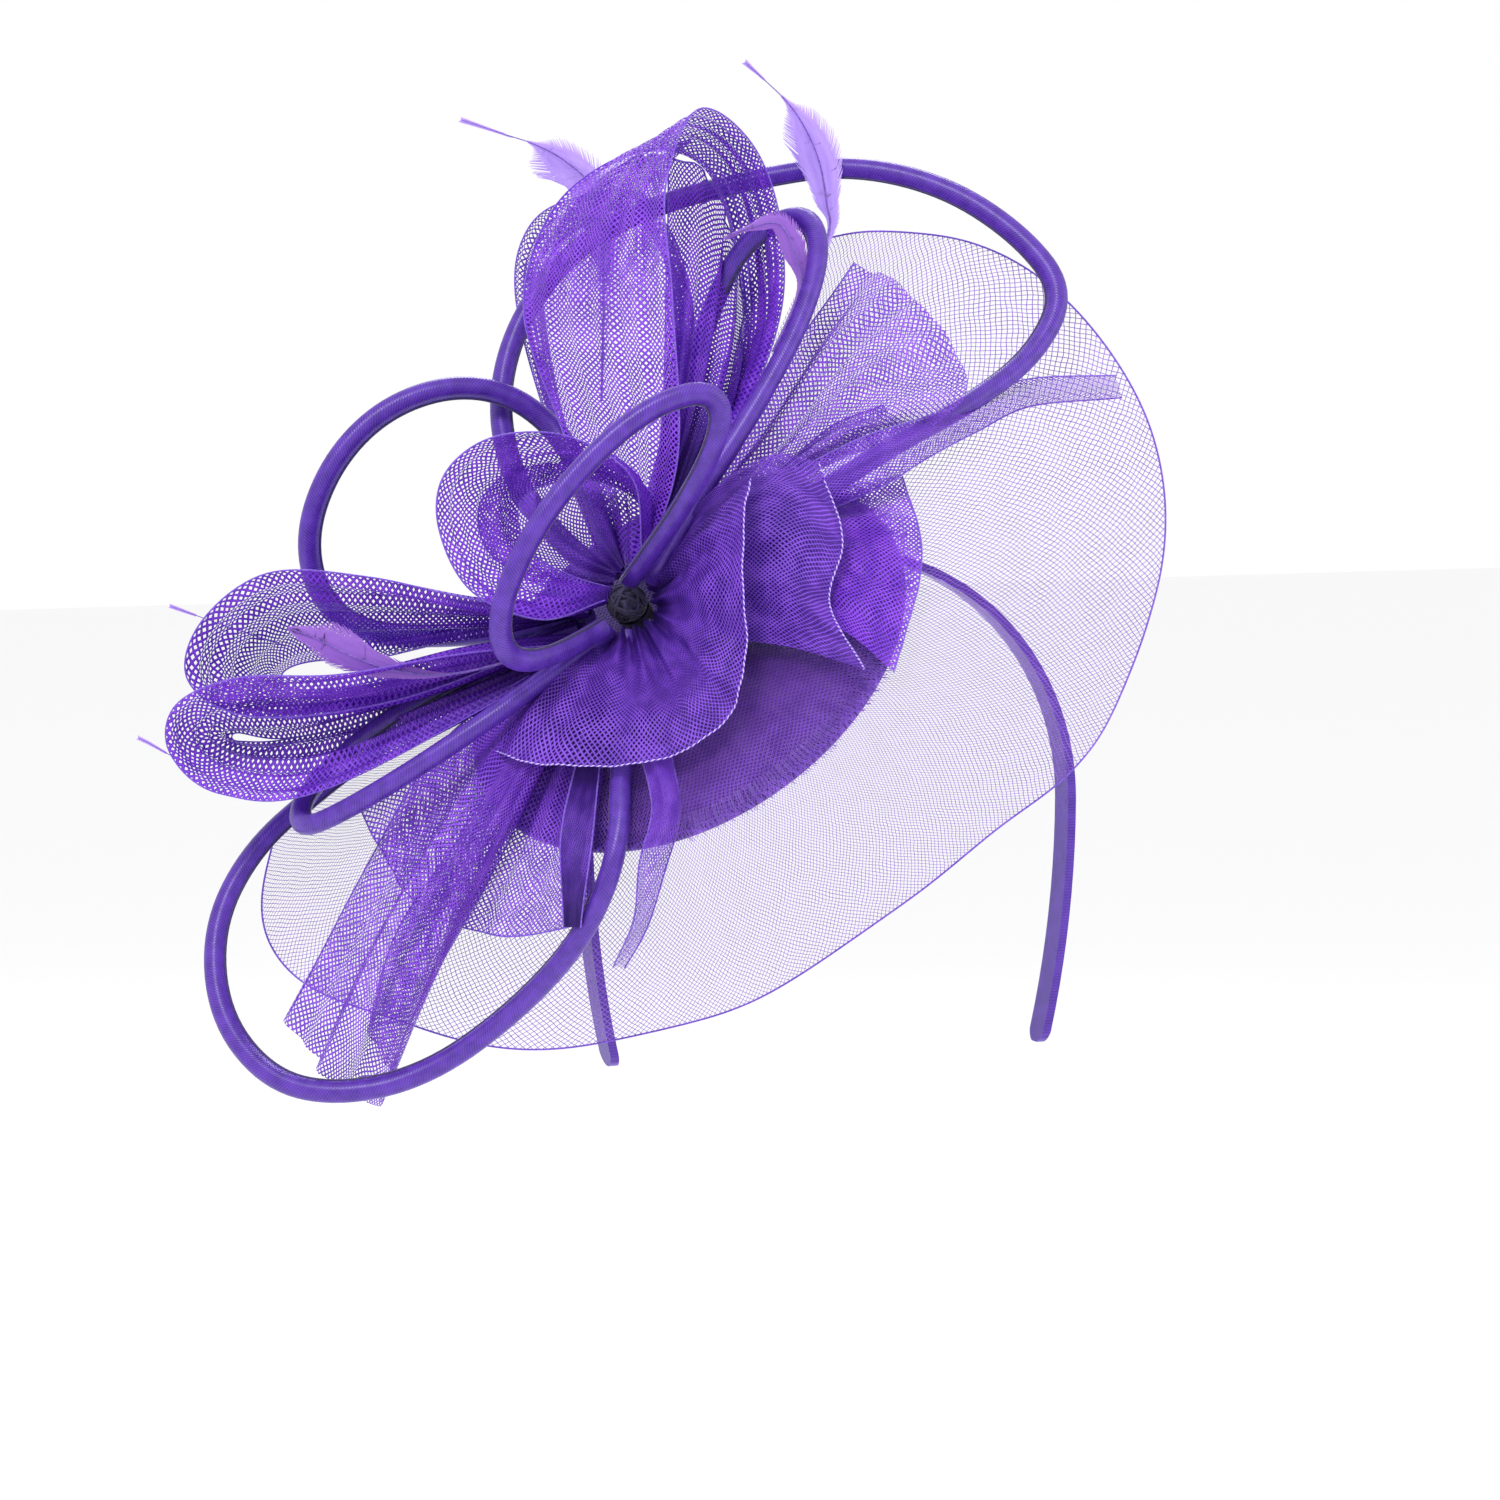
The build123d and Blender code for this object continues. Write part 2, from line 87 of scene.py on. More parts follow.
def trim(point):
    """A trim-frame point in millimetres as a row-frame point in metres."""
    x, y, z = point
    return KNOT + (ACROSS * x + UPWARD * y + OUTWARD * z) * MM


def on_disc(x, y, z):
    """A point of the disc's own frame, in millimetres, as a row-frame point in metres."""
    return DISC_CENTRE + (DISC_ALONG * x + DISC_ACROSS * y + DISC_NORMAL * z) * MM


# ---------------------------------------------------------------- camera, floor and light

CAMERA_TARGET = Vector((-0.0206, 0.0123, 0.0430))
CAMERA_DISTANCE = 1.8
FRAME_WIDTH = 0.4545
SENSOR = 36.0
FLOOR_DROP = 0.35


def add_camera():
    data = bpy.data.cameras.new("camera")
    data.sensor_width = SENSOR
    data.lens = SENSOR * CAMERA_DISTANCE / FRAME_WIDTH
    data.clip_end = 20
    camera = bpy.data.objects.new("camera", data)
    bpy.context.collection.objects.link(camera)
    camera.location = CAMERA_TARGET + OUTWARD * CAMERA_DISTANCE
    camera.rotation_euler = OUTWARD.to_track_quat("Z", "Y").to_euler()
    bpy.context.scene.camera = camera


def area_light(name, place, size, power, colour=(1, 1, 1)):
    data = bpy.data.lights.new(name, "AREA")
    data.shape = "DISK"
    data.size = size
    data.energy = power
    data.color = colour
    light = bpy.data.objects.new(name, data)
    bpy.context.collection.objects.link(light)
    light.location = CAMERA_TARGET + Vector(place)
    light.rotation_euler = Vector(place).to_track_quat("Z", "Y").to_euler()


def add_studio():
    """Pale floor, an even white surround and three soft lights."""
    bpy.ops.mesh.primitive_plane_add(size=12, location=(0, 0, CAD_BOX[0][2] - FLOOR_DROP))
    floor = bpy.context.active_object
    floor.name = "studio_floor"
    paint = bpy.data.materials.new("studio_floor")
    paint.use_nodes = True
    shader = paint.node_tree.nodes["Principled BSDF"]
    shader.inputs["Base Color"].default_value = (0.93, 0.93, 0.94, 1)
    shader.inputs["Roughness"].default_value = 0.9
    floor.data.materials.append(paint)
    world = bpy.data.worlds.new("studio")
    world.use_nodes = True
    background = world.node_tree.nodes["Background"]
    background.inputs["Color"].default_value = (1, 1, 1, 1)
    background.inputs["Strength"].default_value = 1.0
    bpy.context.scene.world = world
    bpy.context.scene.view_settings.view_transform = "Standard"
    area_light("key_light", (-1.0, -1.2, 1.5), 0.7, 22)
    area_light("fill_light", (1.4, -0.9, 0.5), 1.2, 6)
    area_light("rim_light", (0.5, 1.3, 1.2), 0.8, 12)


# ---------------------------------------------------------------- material helpers


class Nodes:
    """Short way to place and join the nodes of one material or group."""

    def __init__(self, tree):
        self.tree = tree

    def add(self, kind, inputs=None, **settings):
        node = self.tree.nodes.new(kind)
        for key, value in settings.items():
            setattr(node, key, value)
        for socket, value in (inputs or {}).items():
            if isinstance(value, bpy.types.NodeSocket):
                self.tree.links.new(value, node.inputs[socket])
            else:
                node.inputs[socket].default_value = value
        return node

    def math(self, operation, first, second=0.0, third=0.0, clamp=False):
        inputs = {0: first, 1: second}
        if operation in ("MULTIPLY_ADD", "SMOOTH_MIN", "SMOOTH_MAX"):
            inputs[2] = third
        return self.add("ShaderNodeMath", inputs, operation=operation, use_clamp=clamp).outputs[0]

    def remap(self, value, low, high, to_low, to_high, smooth=False):
        inputs = {"Value": value, "From Min": low, "From Max": high, "To Min": to_low, "To Max": to_high}
        kind = "SMOOTHSTEP" if smooth else "LINEAR"
        return self.add("ShaderNodeMapRange", inputs, interpolation_type=kind).outputs[0]

    def mix(self, amount, first, second):
        node = self.add("ShaderNodeMix", {"Factor": amount}, data_type="RGBA")
        for socket, value in ((node.inputs[6], first), (node.inputs[7], second)):
            if isinstance(value, bpy.types.NodeSocket):
                self.tree.links.new(value, socket)
            else:
                socket.default_value = value
        return node.outputs[2]


def new_group(name, inputs, outputs):
    """Empty shader group with named number and colour sockets."""
    group = bpy.data.node_groups.new(name, "ShaderNodeTree")
    for label, kind, value in inputs:
        socket = group.interface.new_socket(label, in_out="INPUT", socket_type=kind)
        if value is not None:
            socket.default_value = value
    for label, kind in outputs:
        group.interface.new_socket(label, in_out="OUTPUT", socket_type=kind)
    build = Nodes(group)
    return group, build, build.add("NodeGroupInput"), build.add("NodeGroupOutput")


def new_material(name, roughness, **constants):
    """Material with its Principled shader; the constants are set on the shader's own sockets."""
    material = bpy.data.materials.new(name)
    material.use_nodes = True
    shader = material.node_tree.nodes["Principled BSDF"]
    shader.inputs["Roughness"].default_value = roughness
    for socket, value in constants.items():
        shader.inputs[socket.replace("_", " ")].default_value = value
    return material, Nodes(material.node_tree), shader


def join(build, source, shader, socket):
    build.tree.links.new(source, shader.inputs[socket])


FLOAT = "NodeSocketFloat"
COLOUR = "NodeSocketColor"
VECTOR = "NodeSocketVector"


def open_net_group():
    """Bias net of round threads: two slanted families that cross over and under each other. Its colour holds a
    painted highlight on each thread and painted shade where the net is gathered.
    """
    inputs = [("UV", VECTOR, None), ("Cell", FLOAT, 1.5), ("Thread", FLOAT, 0.3),
              ("Gather_And_Shade", FLOAT, 1.0), ("Dark", COLOUR, None), ("Light", COLOUR, None)]
    outputs = [("Colour", COLOUR), ("Cover", FLOAT), ("Height", FLOAT)]
    group, build, given, result = new_group("open_net", inputs, outputs)
    split = build.add("ShaderNodeSeparateXYZ", {0: given.outputs["UV"]})
    sway = build.add("ShaderNodeTexNoise", {"Vector": given.outputs["UV"], "Scale": 0.09, "Detail": 2.0})
    bend = build.math("MULTIPLY_ADD", sway.outputs[0], 3.0, -1.5)
    along = build.math("ADD", split.outputs[0], bend)
    across = build.math("MULTIPLY", split.outputs[1], 1.25)
    half = build.math("MULTIPLY", build.math("MULTIPLY", given.outputs["Thread"], given.outputs["Gather_And_Shade"]), 0.5)
    heights = []
    for sign in (1, -1):
        slant = build.math("MULTIPLY_ADD", across, sign, along)
        turns = build.math("DIVIDE", slant, given.outputs["Cell"])
        place = build.math("SUBTRACT", build.math("FRACT", turns), 0.5)
        away = build.math("MULTIPLY", build.math("ABSOLUTE", place), given.outputs["Cell"])
        heights.append(build.math("SUBTRACT", 1.0, build.math("DIVIDE", away, half), clamp=True))
    thread = build.math("MAXIMUM", heights[0], heights[1])
    cover = build.remap(thread, 0.0, 0.08, 0.0, 1.0)
    fade = build.add("ShaderNodeTexNoise", {"Vector": given.outputs["UV"], "Scale": 0.12, "Detail": 3.0})
    tone = build.remap(fade.outputs[0], 0.35, 0.65, -0.05, 0.25, smooth=True)
    # Painted highlight: each thread is coloured lightest along its middle and darker at its edges, standing in for
    # the light on a round thread; the noise tone adds random variation.
    tone_and_painted_light = build.math("MULTIPLY_ADD", build.math("POWER", thread, 2.0), 0.85, tone)
    # Painted shade: the more gathered the net, the darker it is coloured, standing in for the shade among the packed
    # layers near the knot.
    painted_shade = build.math("MULTIPLY", build.math("SUBTRACT", given.outputs["Gather_And_Shade"], 1.0), 0.42)
    tone_and_painted_light = build.math("SUBTRACT", tone_and_painted_light, painted_shade, clamp=True)
    colour = build.mix(tone_and_painted_light, given.outputs["Dark"], given.outputs["Light"])
    # Painted shade: the most gathered net, at the knot, is mixed toward a near-black violet.
    painted_knot_shade = build.remap(given.outputs["Gather_And_Shade"], 1.5, 2.6, 0.0, 0.7, smooth=True)
    colour = build.mix(painted_knot_shade, colour, (0.010, 0.001, 0.060, 1))
    build.tree.links.new(colour, result.inputs["Colour"])
    build.tree.links.new(cover, result.inputs["Cover"])
    build.tree.links.new(thread, result.inputs["Height"])
    return group


def satin_group():
    """Fine crosswise ribs of satin with slow changes of tone and a few slubs."""
    inputs = [("Ribs", VECTOR, None), ("Dark", COLOUR, None), ("Light", COLOUR, None), ("Pitch", FLOAT, 0.35)]
    outputs = [("Colour", COLOUR), ("Roughness", FLOAT), ("Height", FLOAT)]
    group, build, given, result = new_group("satin_ribs", inputs, outputs)
    split = build.add("ShaderNodeSeparateXYZ", {0: given.outputs["Ribs"]})
    slant = build.math("MULTIPLY_ADD", split.outputs[1], 0.6, split.outputs[0])
    wave = build.math("SINE", build.math("DIVIDE", build.math("MULTIPLY", slant, 2 * pi), given.outputs["Pitch"]))
    rib = build.remap(wave, -1.0, 1.0, 0.0, 1.0)
    slow = build.add("ShaderNodeTexNoise", {"Vector": given.outputs["Ribs"], "Scale": 0.22, "Detail": 3.0})
    slub = build.add("ShaderNodeTexNoise", {"Vector": given.outputs["Ribs"], "Scale": 1.7, "Detail": 2.0})
    tone = build.remap(slow.outputs[0], 0.3, 0.7, 0.1, 0.45, smooth=True)
    tone = build.math("MULTIPLY_ADD", rib, 0.5, tone, clamp=True)
    build.tree.links.new(build.mix(tone, given.outputs["Dark"], given.outputs["Light"]), result.inputs["Colour"])
    build.tree.links.new(build.remap(slub.outputs[0], 0.3, 0.7, 0.24, 0.42), result.inputs["Roughness"])
    build.tree.links.new(build.math("MULTIPLY_ADD", slub.outputs[0], 0.4, rib), result.inputs["Height"])
    return group


def net_material(name, dark, light, cell, thread, net):
    """Open net: plastic threads on the piece's own UV map, wider where the net is gathered and darkened there with
    painted shade.
    """
    material, build, shader = new_material(name, 0.45, Specular_IOR_Level=0.22)
    uv = build.add("ShaderNodeUVMap", uv_map="UVMap")
    gather_and_shade = build.add("ShaderNodeAttribute", attribute_name="gather_and_shade")
    inputs = {"UV": uv.outputs[0], "Cell": cell, "Thread": thread, "Gather_And_Shade": gather_and_shade.outputs["Fac"],
              "Dark": (*dark, 1), "Light": (*light, 1)}
    weave = build.add("ShaderNodeGroup", node_tree=net)
    for socket, value in inputs.items():
        if isinstance(value, bpy.types.NodeSocket):
            build.tree.links.new(value, weave.inputs[socket])
        else:
            weave.inputs[socket].default_value = value
    join(build, weave.outputs["Colour"], shader, "Base Color")
    join(build, weave.outputs["Cover"], shader, "Alpha")
    bump = build.add("ShaderNodeBump", {"Height": weave.outputs["Height"], "Strength": 0.5, "Distance": 0.0002})
    join(build, bump.outputs[0], shader, "Normal")
    return material


def satin_material(name, dark, light, satin, from_uv):
    """Satin, with its ribs on the piece's UV map or on Object coordinates."""
    material, build, shader = new_material(name, 0.3, Specular_IOR_Level=0.4, Anisotropic=0.6)
    if from_uv:
        source = build.add("ShaderNodeUVMap", uv_map="UVMap").outputs[0]
    else:
        place = build.add("ShaderNodeTexCoord").outputs["Object"]
        source = build.add("ShaderNodeMapping", {"Vector": place, "Scale": (1000, 1000, 1000),
                                                 "Rotation": (0, radians(90), 0)}).outputs[0]
    ribs = build.add("ShaderNodeGroup", node_tree=satin)
    build.tree.links.new(source, ribs.inputs["Ribs"])
    ribs.inputs["Dark"].default_value = (*dark, 1)
    ribs.inputs["Light"].default_value = (*light, 1)
    ribs.inputs["Pitch"].default_value = 0.9
    join(build, ribs.outputs["Colour"], shader, "Base Color")
    join(build, ribs.outputs["Roughness"], shader, "Roughness")
    bump = build.add("ShaderNodeBump", {"Height": ribs.outputs["Height"], "Strength": 0.35, "Distance": 0.0001})
    join(build, bump.outputs[0], shader, "Normal")
    return material


def felt_material(name, dark, light):
    """Matted felt: short fibres in every direction."""
    material, build, shader = new_material(name, 0.95, Sheen_Weight=0.6, Sheen_Roughness=0.5)
    place = build.add("ShaderNodeTexCoord").outputs["Object"]
    coarse = build.add("ShaderNodeTexNoise", {"Vector": place, "Scale": 900.0, "Detail": 4.0})
    fine = build.add("ShaderNodeTexNoise", {"Vector": place, "Scale": 4200.0, "Detail": 2.0, "Distortion": 1.5})
    tone = build.remap(coarse.outputs[0], 0.35, 0.65, 0.0, 1.0)
    join(build, build.mix(tone, (*dark, 1), (*light, 1)), shader, "Base Color")
    height = build.math("ADD", coarse.outputs[0], fine.outputs[0])
    bump = build.add("ShaderNodeBump", {"Height": height, "Strength": 0.6, "Distance": 0.0003})
    join(build, bump.outputs[0], shader, "Normal")
    return material


def sinamay_material(name, dark, light, net):
    """Stiff base covered with crin, whose threads run across the disc and lie close together."""
    material, build, shader = new_material(name, 0.5, Specular_IOR_Level=0.35)
    place = build.add("ShaderNodeTexCoord").outputs["Object"]
    flat = tuple(Matrix((DISC_ALONG, DISC_ACROSS, DISC_NORMAL)).to_euler())
    turned = build.add("ShaderNodeMapping", {"Vector": place, "Rotation": flat, "Scale": (1000, 1000, 1000)})
    weave = build.add("ShaderNodeGroup", node_tree=net)
    build.tree.links.new(turned.outputs[0], weave.inputs["UV"])
    values = {"Cell": 2.0, "Thread": 1.05, "Gather_And_Shade": 1.0, "Dark": (*dark, 1), "Light": (*light, 1)}
    for socket, value in values.items():
        weave.inputs[socket].default_value = value
    under = tuple(part * 0.45 for part in dark)
    colour = build.mix(weave.outputs["Cover"], (*under, 1), weave.outputs["Colour"])
    join(build, colour, shader, "Base Color")
    bump = build.add("ShaderNodeBump", {"Height": weave.outputs["Height"], "Strength": 0.7, "Distance": 0.0004})
    join(build, bump.outputs[0], shader, "Normal")
    return material


def metal_material(name, colour, roughness):
    """Plated steel with fine rolling lines and small smudges."""
    material, build, shader = new_material(name, roughness, Metallic=1.0)
    place = build.add("ShaderNodeTexCoord").outputs["Object"]
    stretched = build.add("ShaderNodeMapping", {"Vector": place, "Scale": (300, 3000, 300)})
    lines = build.add("ShaderNodeTexNoise", {"Vector": stretched.outputs[0], "Scale": 1.0, "Detail": 3.0})
    smudge = build.add("ShaderNodeTexNoise", {"Vector": place, "Scale": 220.0, "Detail": 2.0})
    shade = build.remap(smudge.outputs[0], 0.3, 0.7, 0.0, 1.0)
    darker = tuple(part * 0.8 for part in colour)
    join(build, build.mix(shade, (*darker, 1), (*colour, 1)), shader, "Base Color")
    rough = build.math("MULTIPLY_ADD", lines.outputs[0], 0.2, roughness - 0.08)
    join(build, rough, shader, "Roughness")
    return material


def feather_material(name, dark, light):
    """Dyed barbs: darker at the quill and paler toward the tips of the barbs."""
    material, build, shader = new_material(name, 0.55, Sheen_Weight=0.5, Sheen_Roughness=0.4)
    uv = build.add("ShaderNodeUVMap", uv_map="UVMap")
    split = build.add("ShaderNodeSeparateXYZ", {0: uv.outputs[0]})
    streak = build.add("ShaderNodeTexNoise", {"Vector": uv.outputs[0], "Scale": 9.0, "Detail": 3.0})
    tone = build.math("MULTIPLY_ADD", split.outputs[0], 0.55, build.math("MULTIPLY", streak.outputs[0], 0.6),
                      clamp=True)
    join(build, build.mix(tone, (*dark, 1), (*light, 1)), shader, "Base Color")
    return material


def thread_material(name, dark, light):
    """Twisted sewing thread."""
    material, build, shader = new_material(name, 0.55, Sheen_Weight=0.4)
    place = build.add("ShaderNodeTexCoord").outputs["Object"]
    twist = build.add("ShaderNodeTexNoise", {"Vector": place, "Scale": 1400.0, "Detail": 3.0})
    join(build, build.mix(build.remap(twist.outputs[0], 0.35, 0.65, 0.0, 1.0), (*dark, 1), (*light, 1)),
         shader, "Base Color")
    bump = build.add("ShaderNodeBump", {"Height": twist.outputs[0], "Strength": 0.5, "Distance": 0.0002})
    join(build, bump.outputs[0], shader, "Normal")
    return material


def dashed_material(name, dark, light):
    """Edge thread of the crin: a white strand that is whipped on, so it shows as short dashes."""
    material, build, shader = new_material(name, 0.5, Specular_IOR_Level=0.3)
    uv = build.add("ShaderNodeUVMap", uv_map="UVMap")
    split = build.add("ShaderNodeSeparateXYZ", {0: uv.outputs[0]})
    turns = build.math("MULTIPLY_ADD", split.outputs[0], 0.55, build.math("MULTIPLY", split.outputs[1], 0.5))
    dash = build.remap(build.math("FRACT", turns), 0.45, 0.6, 0.0, 1.0, smooth=True)
    join(build, build.mix(dash, (*dark, 1), (*light, 1)), shader, "Base Color")
    return material


NET = open_net_group()
SATIN = satin_group()
MATERIALS = {
    "front_net": net_material("front_net", (0.028, 0.003, 0.17), (0.27, 0.09, 0.76), 1.8, 0.92, NET),
    "loop_net": net_material("loop_net", (0.070, 0.006, 0.36), (0.33, 0.085, 0.86), 1.75, 0.80, NET),
    "light_net": net_material("light_net", (0.085, 0.012, 0.38), (0.35, 0.12, 0.84), 1.75, 0.60, NET),
    "veil_net": net_material("veil_net", (0.15, 0.045, 0.40), (0.37, 0.18, 0.76), 2.1, 0.34, NET),
    "crease_net": net_material("crease_net", (0.080, 0.012, 0.36), (0.32, 0.12, 0.82), 1.7, 0.70, NET),
    "tube_satin": satin_material("tube_satin", (0.036, 0.008, 0.17), (0.125, 0.042, 0.46), SATIN, True),
    "band_satin": satin_material("band_satin", (0.040, 0.009, 0.20), (0.12, 0.040, 0.44), SATIN, False),
    "seam_thread": thread_material("seam_thread", (0.010, 0.003, 0.05), (0.03, 0.01, 0.13)),
    "edge_line": thread_material("edge_line", (0.09, 0.02, 0.42), (0.22, 0.08, 0.66)),
    "quill": thread_material("quill", (0.10, 0.04, 0.34), (0.22, 0.10, 0.52)),
    "edge_thread": dashed_material("edge_thread", (0.12, 0.04, 0.46), (0.62, 0.48, 0.92)),
    "fringe_thread": thread_material("fringe_thread", (0.06, 0.012, 0.34), (0.26, 0.11, 0.68)),
    "knot_thread": thread_material("knot_thread", (0.004, 0.001, 0.02), (0.02, 0.006, 0.09)),
    "felt": felt_material("felt", (0.03, 0.008, 0.14), (0.09, 0.03, 0.32)),
    "sinamay": sinamay_material("sinamay", (0.035, 0.004, 0.20), (0.30, 0.11, 0.80), NET),
    "clip_metal": metal_material("clip_metal", (0.78, 0.78, 0.80), 0.22),
    "core_steel": metal_material("core_steel", (0.45, 0.45, 0.47), 0.4),
    "lavender": feather_material("lavender", (0.22, 0.10, 0.58), (0.54, 0.38, 0.86)),
    "mauve": feather_material("mauve", (0.13, 0.03, 0.36), (0.30, 0.12, 0.56)),
}


# ---------------------------------------------------------------- mesh helpers


def finish(obj, name, material, slot, replaces=(), body=ROOT):
    """Names a piece, gives it its material and hangs it on its body."""
    obj.name = name
    obj.data.name = name
    obj.data.materials.clear()
    obj.data.materials.append(MATERIALS[material])
    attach(obj, body)
    if replaces:
        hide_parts(*replaces)
    return obj


def curve_through(points, share):
    """Point on the smooth curve through the points, for a share of its length from 0 to 1."""
    spans = len(points) - 1
    place = min(max(share, 0.0), 1.0) * spans
    index = min(int(place), spans - 1)
    t = place - index
    p1 = points[index]
    p2 = points[index + 1]
    p0 = points[index - 1] if index else p1 * 2 - p2
    p3 = points[index + 2] if index + 2 <= spans else p2 * 2 - p1
    return 0.5 * (p1 * 2 + (p2 - p0) * t + (p0 * 2 - p1 * 5 + p2 * 4 - p3) * t**2
                  + (p1 * 3 - p0 - p2 * 3 + p3) * t**3)


def grid_piece(along, across, place, uv, seamless=False):
    """Grid primitive whose points go to place(u, v); u and v run from 0 to 1."""
    bpy.ops.object.select_all(action="DESELECT")
    bpy.ops.mesh.primitive_grid_add(x_subdivisions=along, y_subdivisions=across, size=1, calc_uvs=True)
    obj = bpy.context.active_object
    mesh = obj.data
    shares = [(vertex.co.x + 0.5, vertex.co.y + 0.5) for vertex in mesh.vertices]
    for vertex, (u, v) in zip(mesh.vertices, shares):
        vertex.co = place(u, v)
    layer = mesh.uv_layers[0]
    layer.name = "UVMap"
    for loop in mesh.loops:
        layer.data[loop.index].uv = uv(*shares[loop.vertex_index])
    if seamless:
        bpy.ops.object.mode_set(mode="EDIT")
        bpy.ops.mesh.select_all(action="SELECT")
        bpy.ops.mesh.remove_doubles(threshold=0.00001)
        bpy.ops.mesh.normals_make_consistent(inside=False)
        bpy.ops.object.mode_set(mode="OBJECT")
    bpy.ops.object.shade_smooth()
    return obj, shares


def route_points(route):
    """Points along the smooth line of a route of control points, in metres."""
    data = bpy.data.curves.new("route", "CURVE")
    data.dimensions = "3D"
    data.resolution_u = 8
    spline = data.splines.new("NURBS")
    spline.points.add(len(route) - 1)
    for point, place in zip(spline.points, route):
        point.co = (*place, 1)
    spline.order_u = 3
    spline.use_endpoint_u = True
    holder = bpy.data.objects.new("route", data)
    mesh = bpy.data.meshes.new_from_object(holder)
    points = [vertex.co.copy() for vertex in mesh.vertices]
    bpy.data.objects.remove(holder)
    bpy.data.meshes.remove(mesh)
    return points


def frames_along(points, first_side):
    """Tangent and side directions that turn with the line as little as they can."""
    frames = []
    side = first_side
    for index, point in enumerate(points):
        before = points[max(index - 1, 0)]
        after = points[min(index + 1, len(points) - 1)]
        tangent = (after - before).normalized()
        side = (side - tangent * side.dot(tangent)).normalized()
        frames.append((point, side.copy(), tangent.cross(side)))
    return frames


def tube_piece(points, radius, around, first_side=Vector((0, 0, 1)), profile=None, taper=None):
    """Closed tube along a line of points; its UV map is in millimetres."""
    frames = frames_along(points, first_side)
    lengths = [0.0]
    for before, after in zip(points, points[1:]):
        lengths.append(lengths[-1] + (after - before).length / MM)
    count = len(points)

    def place(u, v):
        index = round(u * (count - 1))
        centre, side, other = frames[index]
        angle = 2 * pi * v
        swell = profile(angle) if profile else 1.0
        thin = taper(u) if taper else 1.0
        return centre + (side * cos(angle) + other * sin(angle)) * radius * swell * thin

    def uv(u, v):
        return lengths[round(u * (count - 1))], v * 2 * pi * radius / MM

    obj, _ = grid_piece(count - 1, around, place, uv, seamless=True)
    bpy.ops.object.mode_set(mode="EDIT")
    bpy.ops.mesh.select_all(action="DESELECT")
    bpy.ops.mesh.select_non_manifold()
    bpy.ops.mesh.fill()
    bpy.ops.object.mode_set(mode="OBJECT")
    return obj


def line_length(points):
    return sum((after - before).length for before, after in zip(points, points[1:]))


def net_piece(name, rails, width, material, replaces, pleats=4, pleat_depth=2.6, slot="purple_crin",
              along=72, across=40, held="gathered", seed=1, edges=(0, 1), end=False, flutter=1.0,
              stitch="edge_line", thin=0.0, spread=1.0, start=0.0, tapered=False):
    """Net ribbon or petal that follows its rails, pleated where it is gathered at the knot.

    width in millimetres sets how closely the threads are gathered. spread is below 1
    where the crin is pulled wide, so its cells are larger, and thin frays it toward its end.
    start is the share of the length over which the threads grow to their full width. tapered is
    for a panel that is cut narrow at the knot, but it is not used; the others are straight ribbons.
    The flat size is the widest line across the piece and the mean length of the lines along it.
    """
    curves = [[trim(point) for point in rail] for rail in rails]
    wobble = Random(seed * 7)
    phases = [wobble.uniform(0, 2 * pi) for _ in range(6)]

    def base(u, v):
        return curve_through([curve_through(curve, u) for curve in curves], v)

    middle = [base(step / along, 0.5) for step in range(along + 1)]
    lengths = [0.0]
    for before, after in zip(middle, middle[1:]):
        lengths.append(lengths[-1] + (after - before).length / MM)

    def place(u, v):
        step = 0.004
        point = base(u, v)
        along_way = base(min(u + step, 1), v) - base(max(u - step, 0), v)
        across_way = base(u, min(v + step, 1)) - base(u, max(v - step, 0))
        normal = along_way.cross(across_way)
        if normal.length < 1e-12:
            return point
        normal.normalize()
        span = (base(u, 1) - base(u, 0)).length / MM
        spare = max(0.0, 1.0 - span / width)
        turn = 2 * pi * pleats * v + phases[0] + 0.9 * sin(3 * u + phases[1])
        fold = sin(turn + 0.5 * sin(turn)) + 0.4 * sin(2 * pi * (pleats * 2.3) * v + phases[2])
        drift = 0.8 * sin(5.1 * u + phases[3] + 4 * v) + 0.5 * sin(11 * u + phases[4] - 5 * v)
        lift = pleat_depth * fold * (0.22 + spare) * min(1.0, 0.2 + span / 36) + flutter * 0.6 * drift
        return point + normal * lift * MM

    obj, shares = grid_piece(along, across, place, lambda u, v: (lengths[round(u * along)], v * width * spread))
    # This value packs the threads closer and also darkens the net as painted shade toward the knot.
    gather_and_shade = obj.data.attributes.new("gather_and_shade", "FLOAT", "POINT")
    for index, (u, v) in enumerate(shares):
        span = sum((base(u, (k + 1) / 6) - base(u, k / 6)).length for k in range(6)) / MM
        packed = min(2.6, max(1.0, (width / max(span, 1.0)) ** 0.75))
        grown = 1.0 if start == 0 else min(1.0, 0.12 + u / start)
        gather_and_shade.data[index].value = packed * (1 - thin * u**1.5) * grown
    finish(obj, name, material, slot, replaces)
    widths = [line_length([place(row / 8, step / 120) for step in range(121)]) for row in range(9)]
    runs = [line_length([base(step / along, column / 4) for step in range(along + 1)]) for column in range(5)]
    for edge in edges:
        line = [place(step / along, edge) for step in range(along + 1)]
        finish(tube_piece(line, 0.24 * MM, 6), f"{name}_edge_{edge}", "edge_line", slot)
    if end:
        line = [place(1, step / across) for step in range(across + 1)]
        finish(tube_piece(line, 0.27 * MM, 6), f"{name}_end_thread", stitch, slot)


# ---------------------------------------------------------------- net ribbons and petals

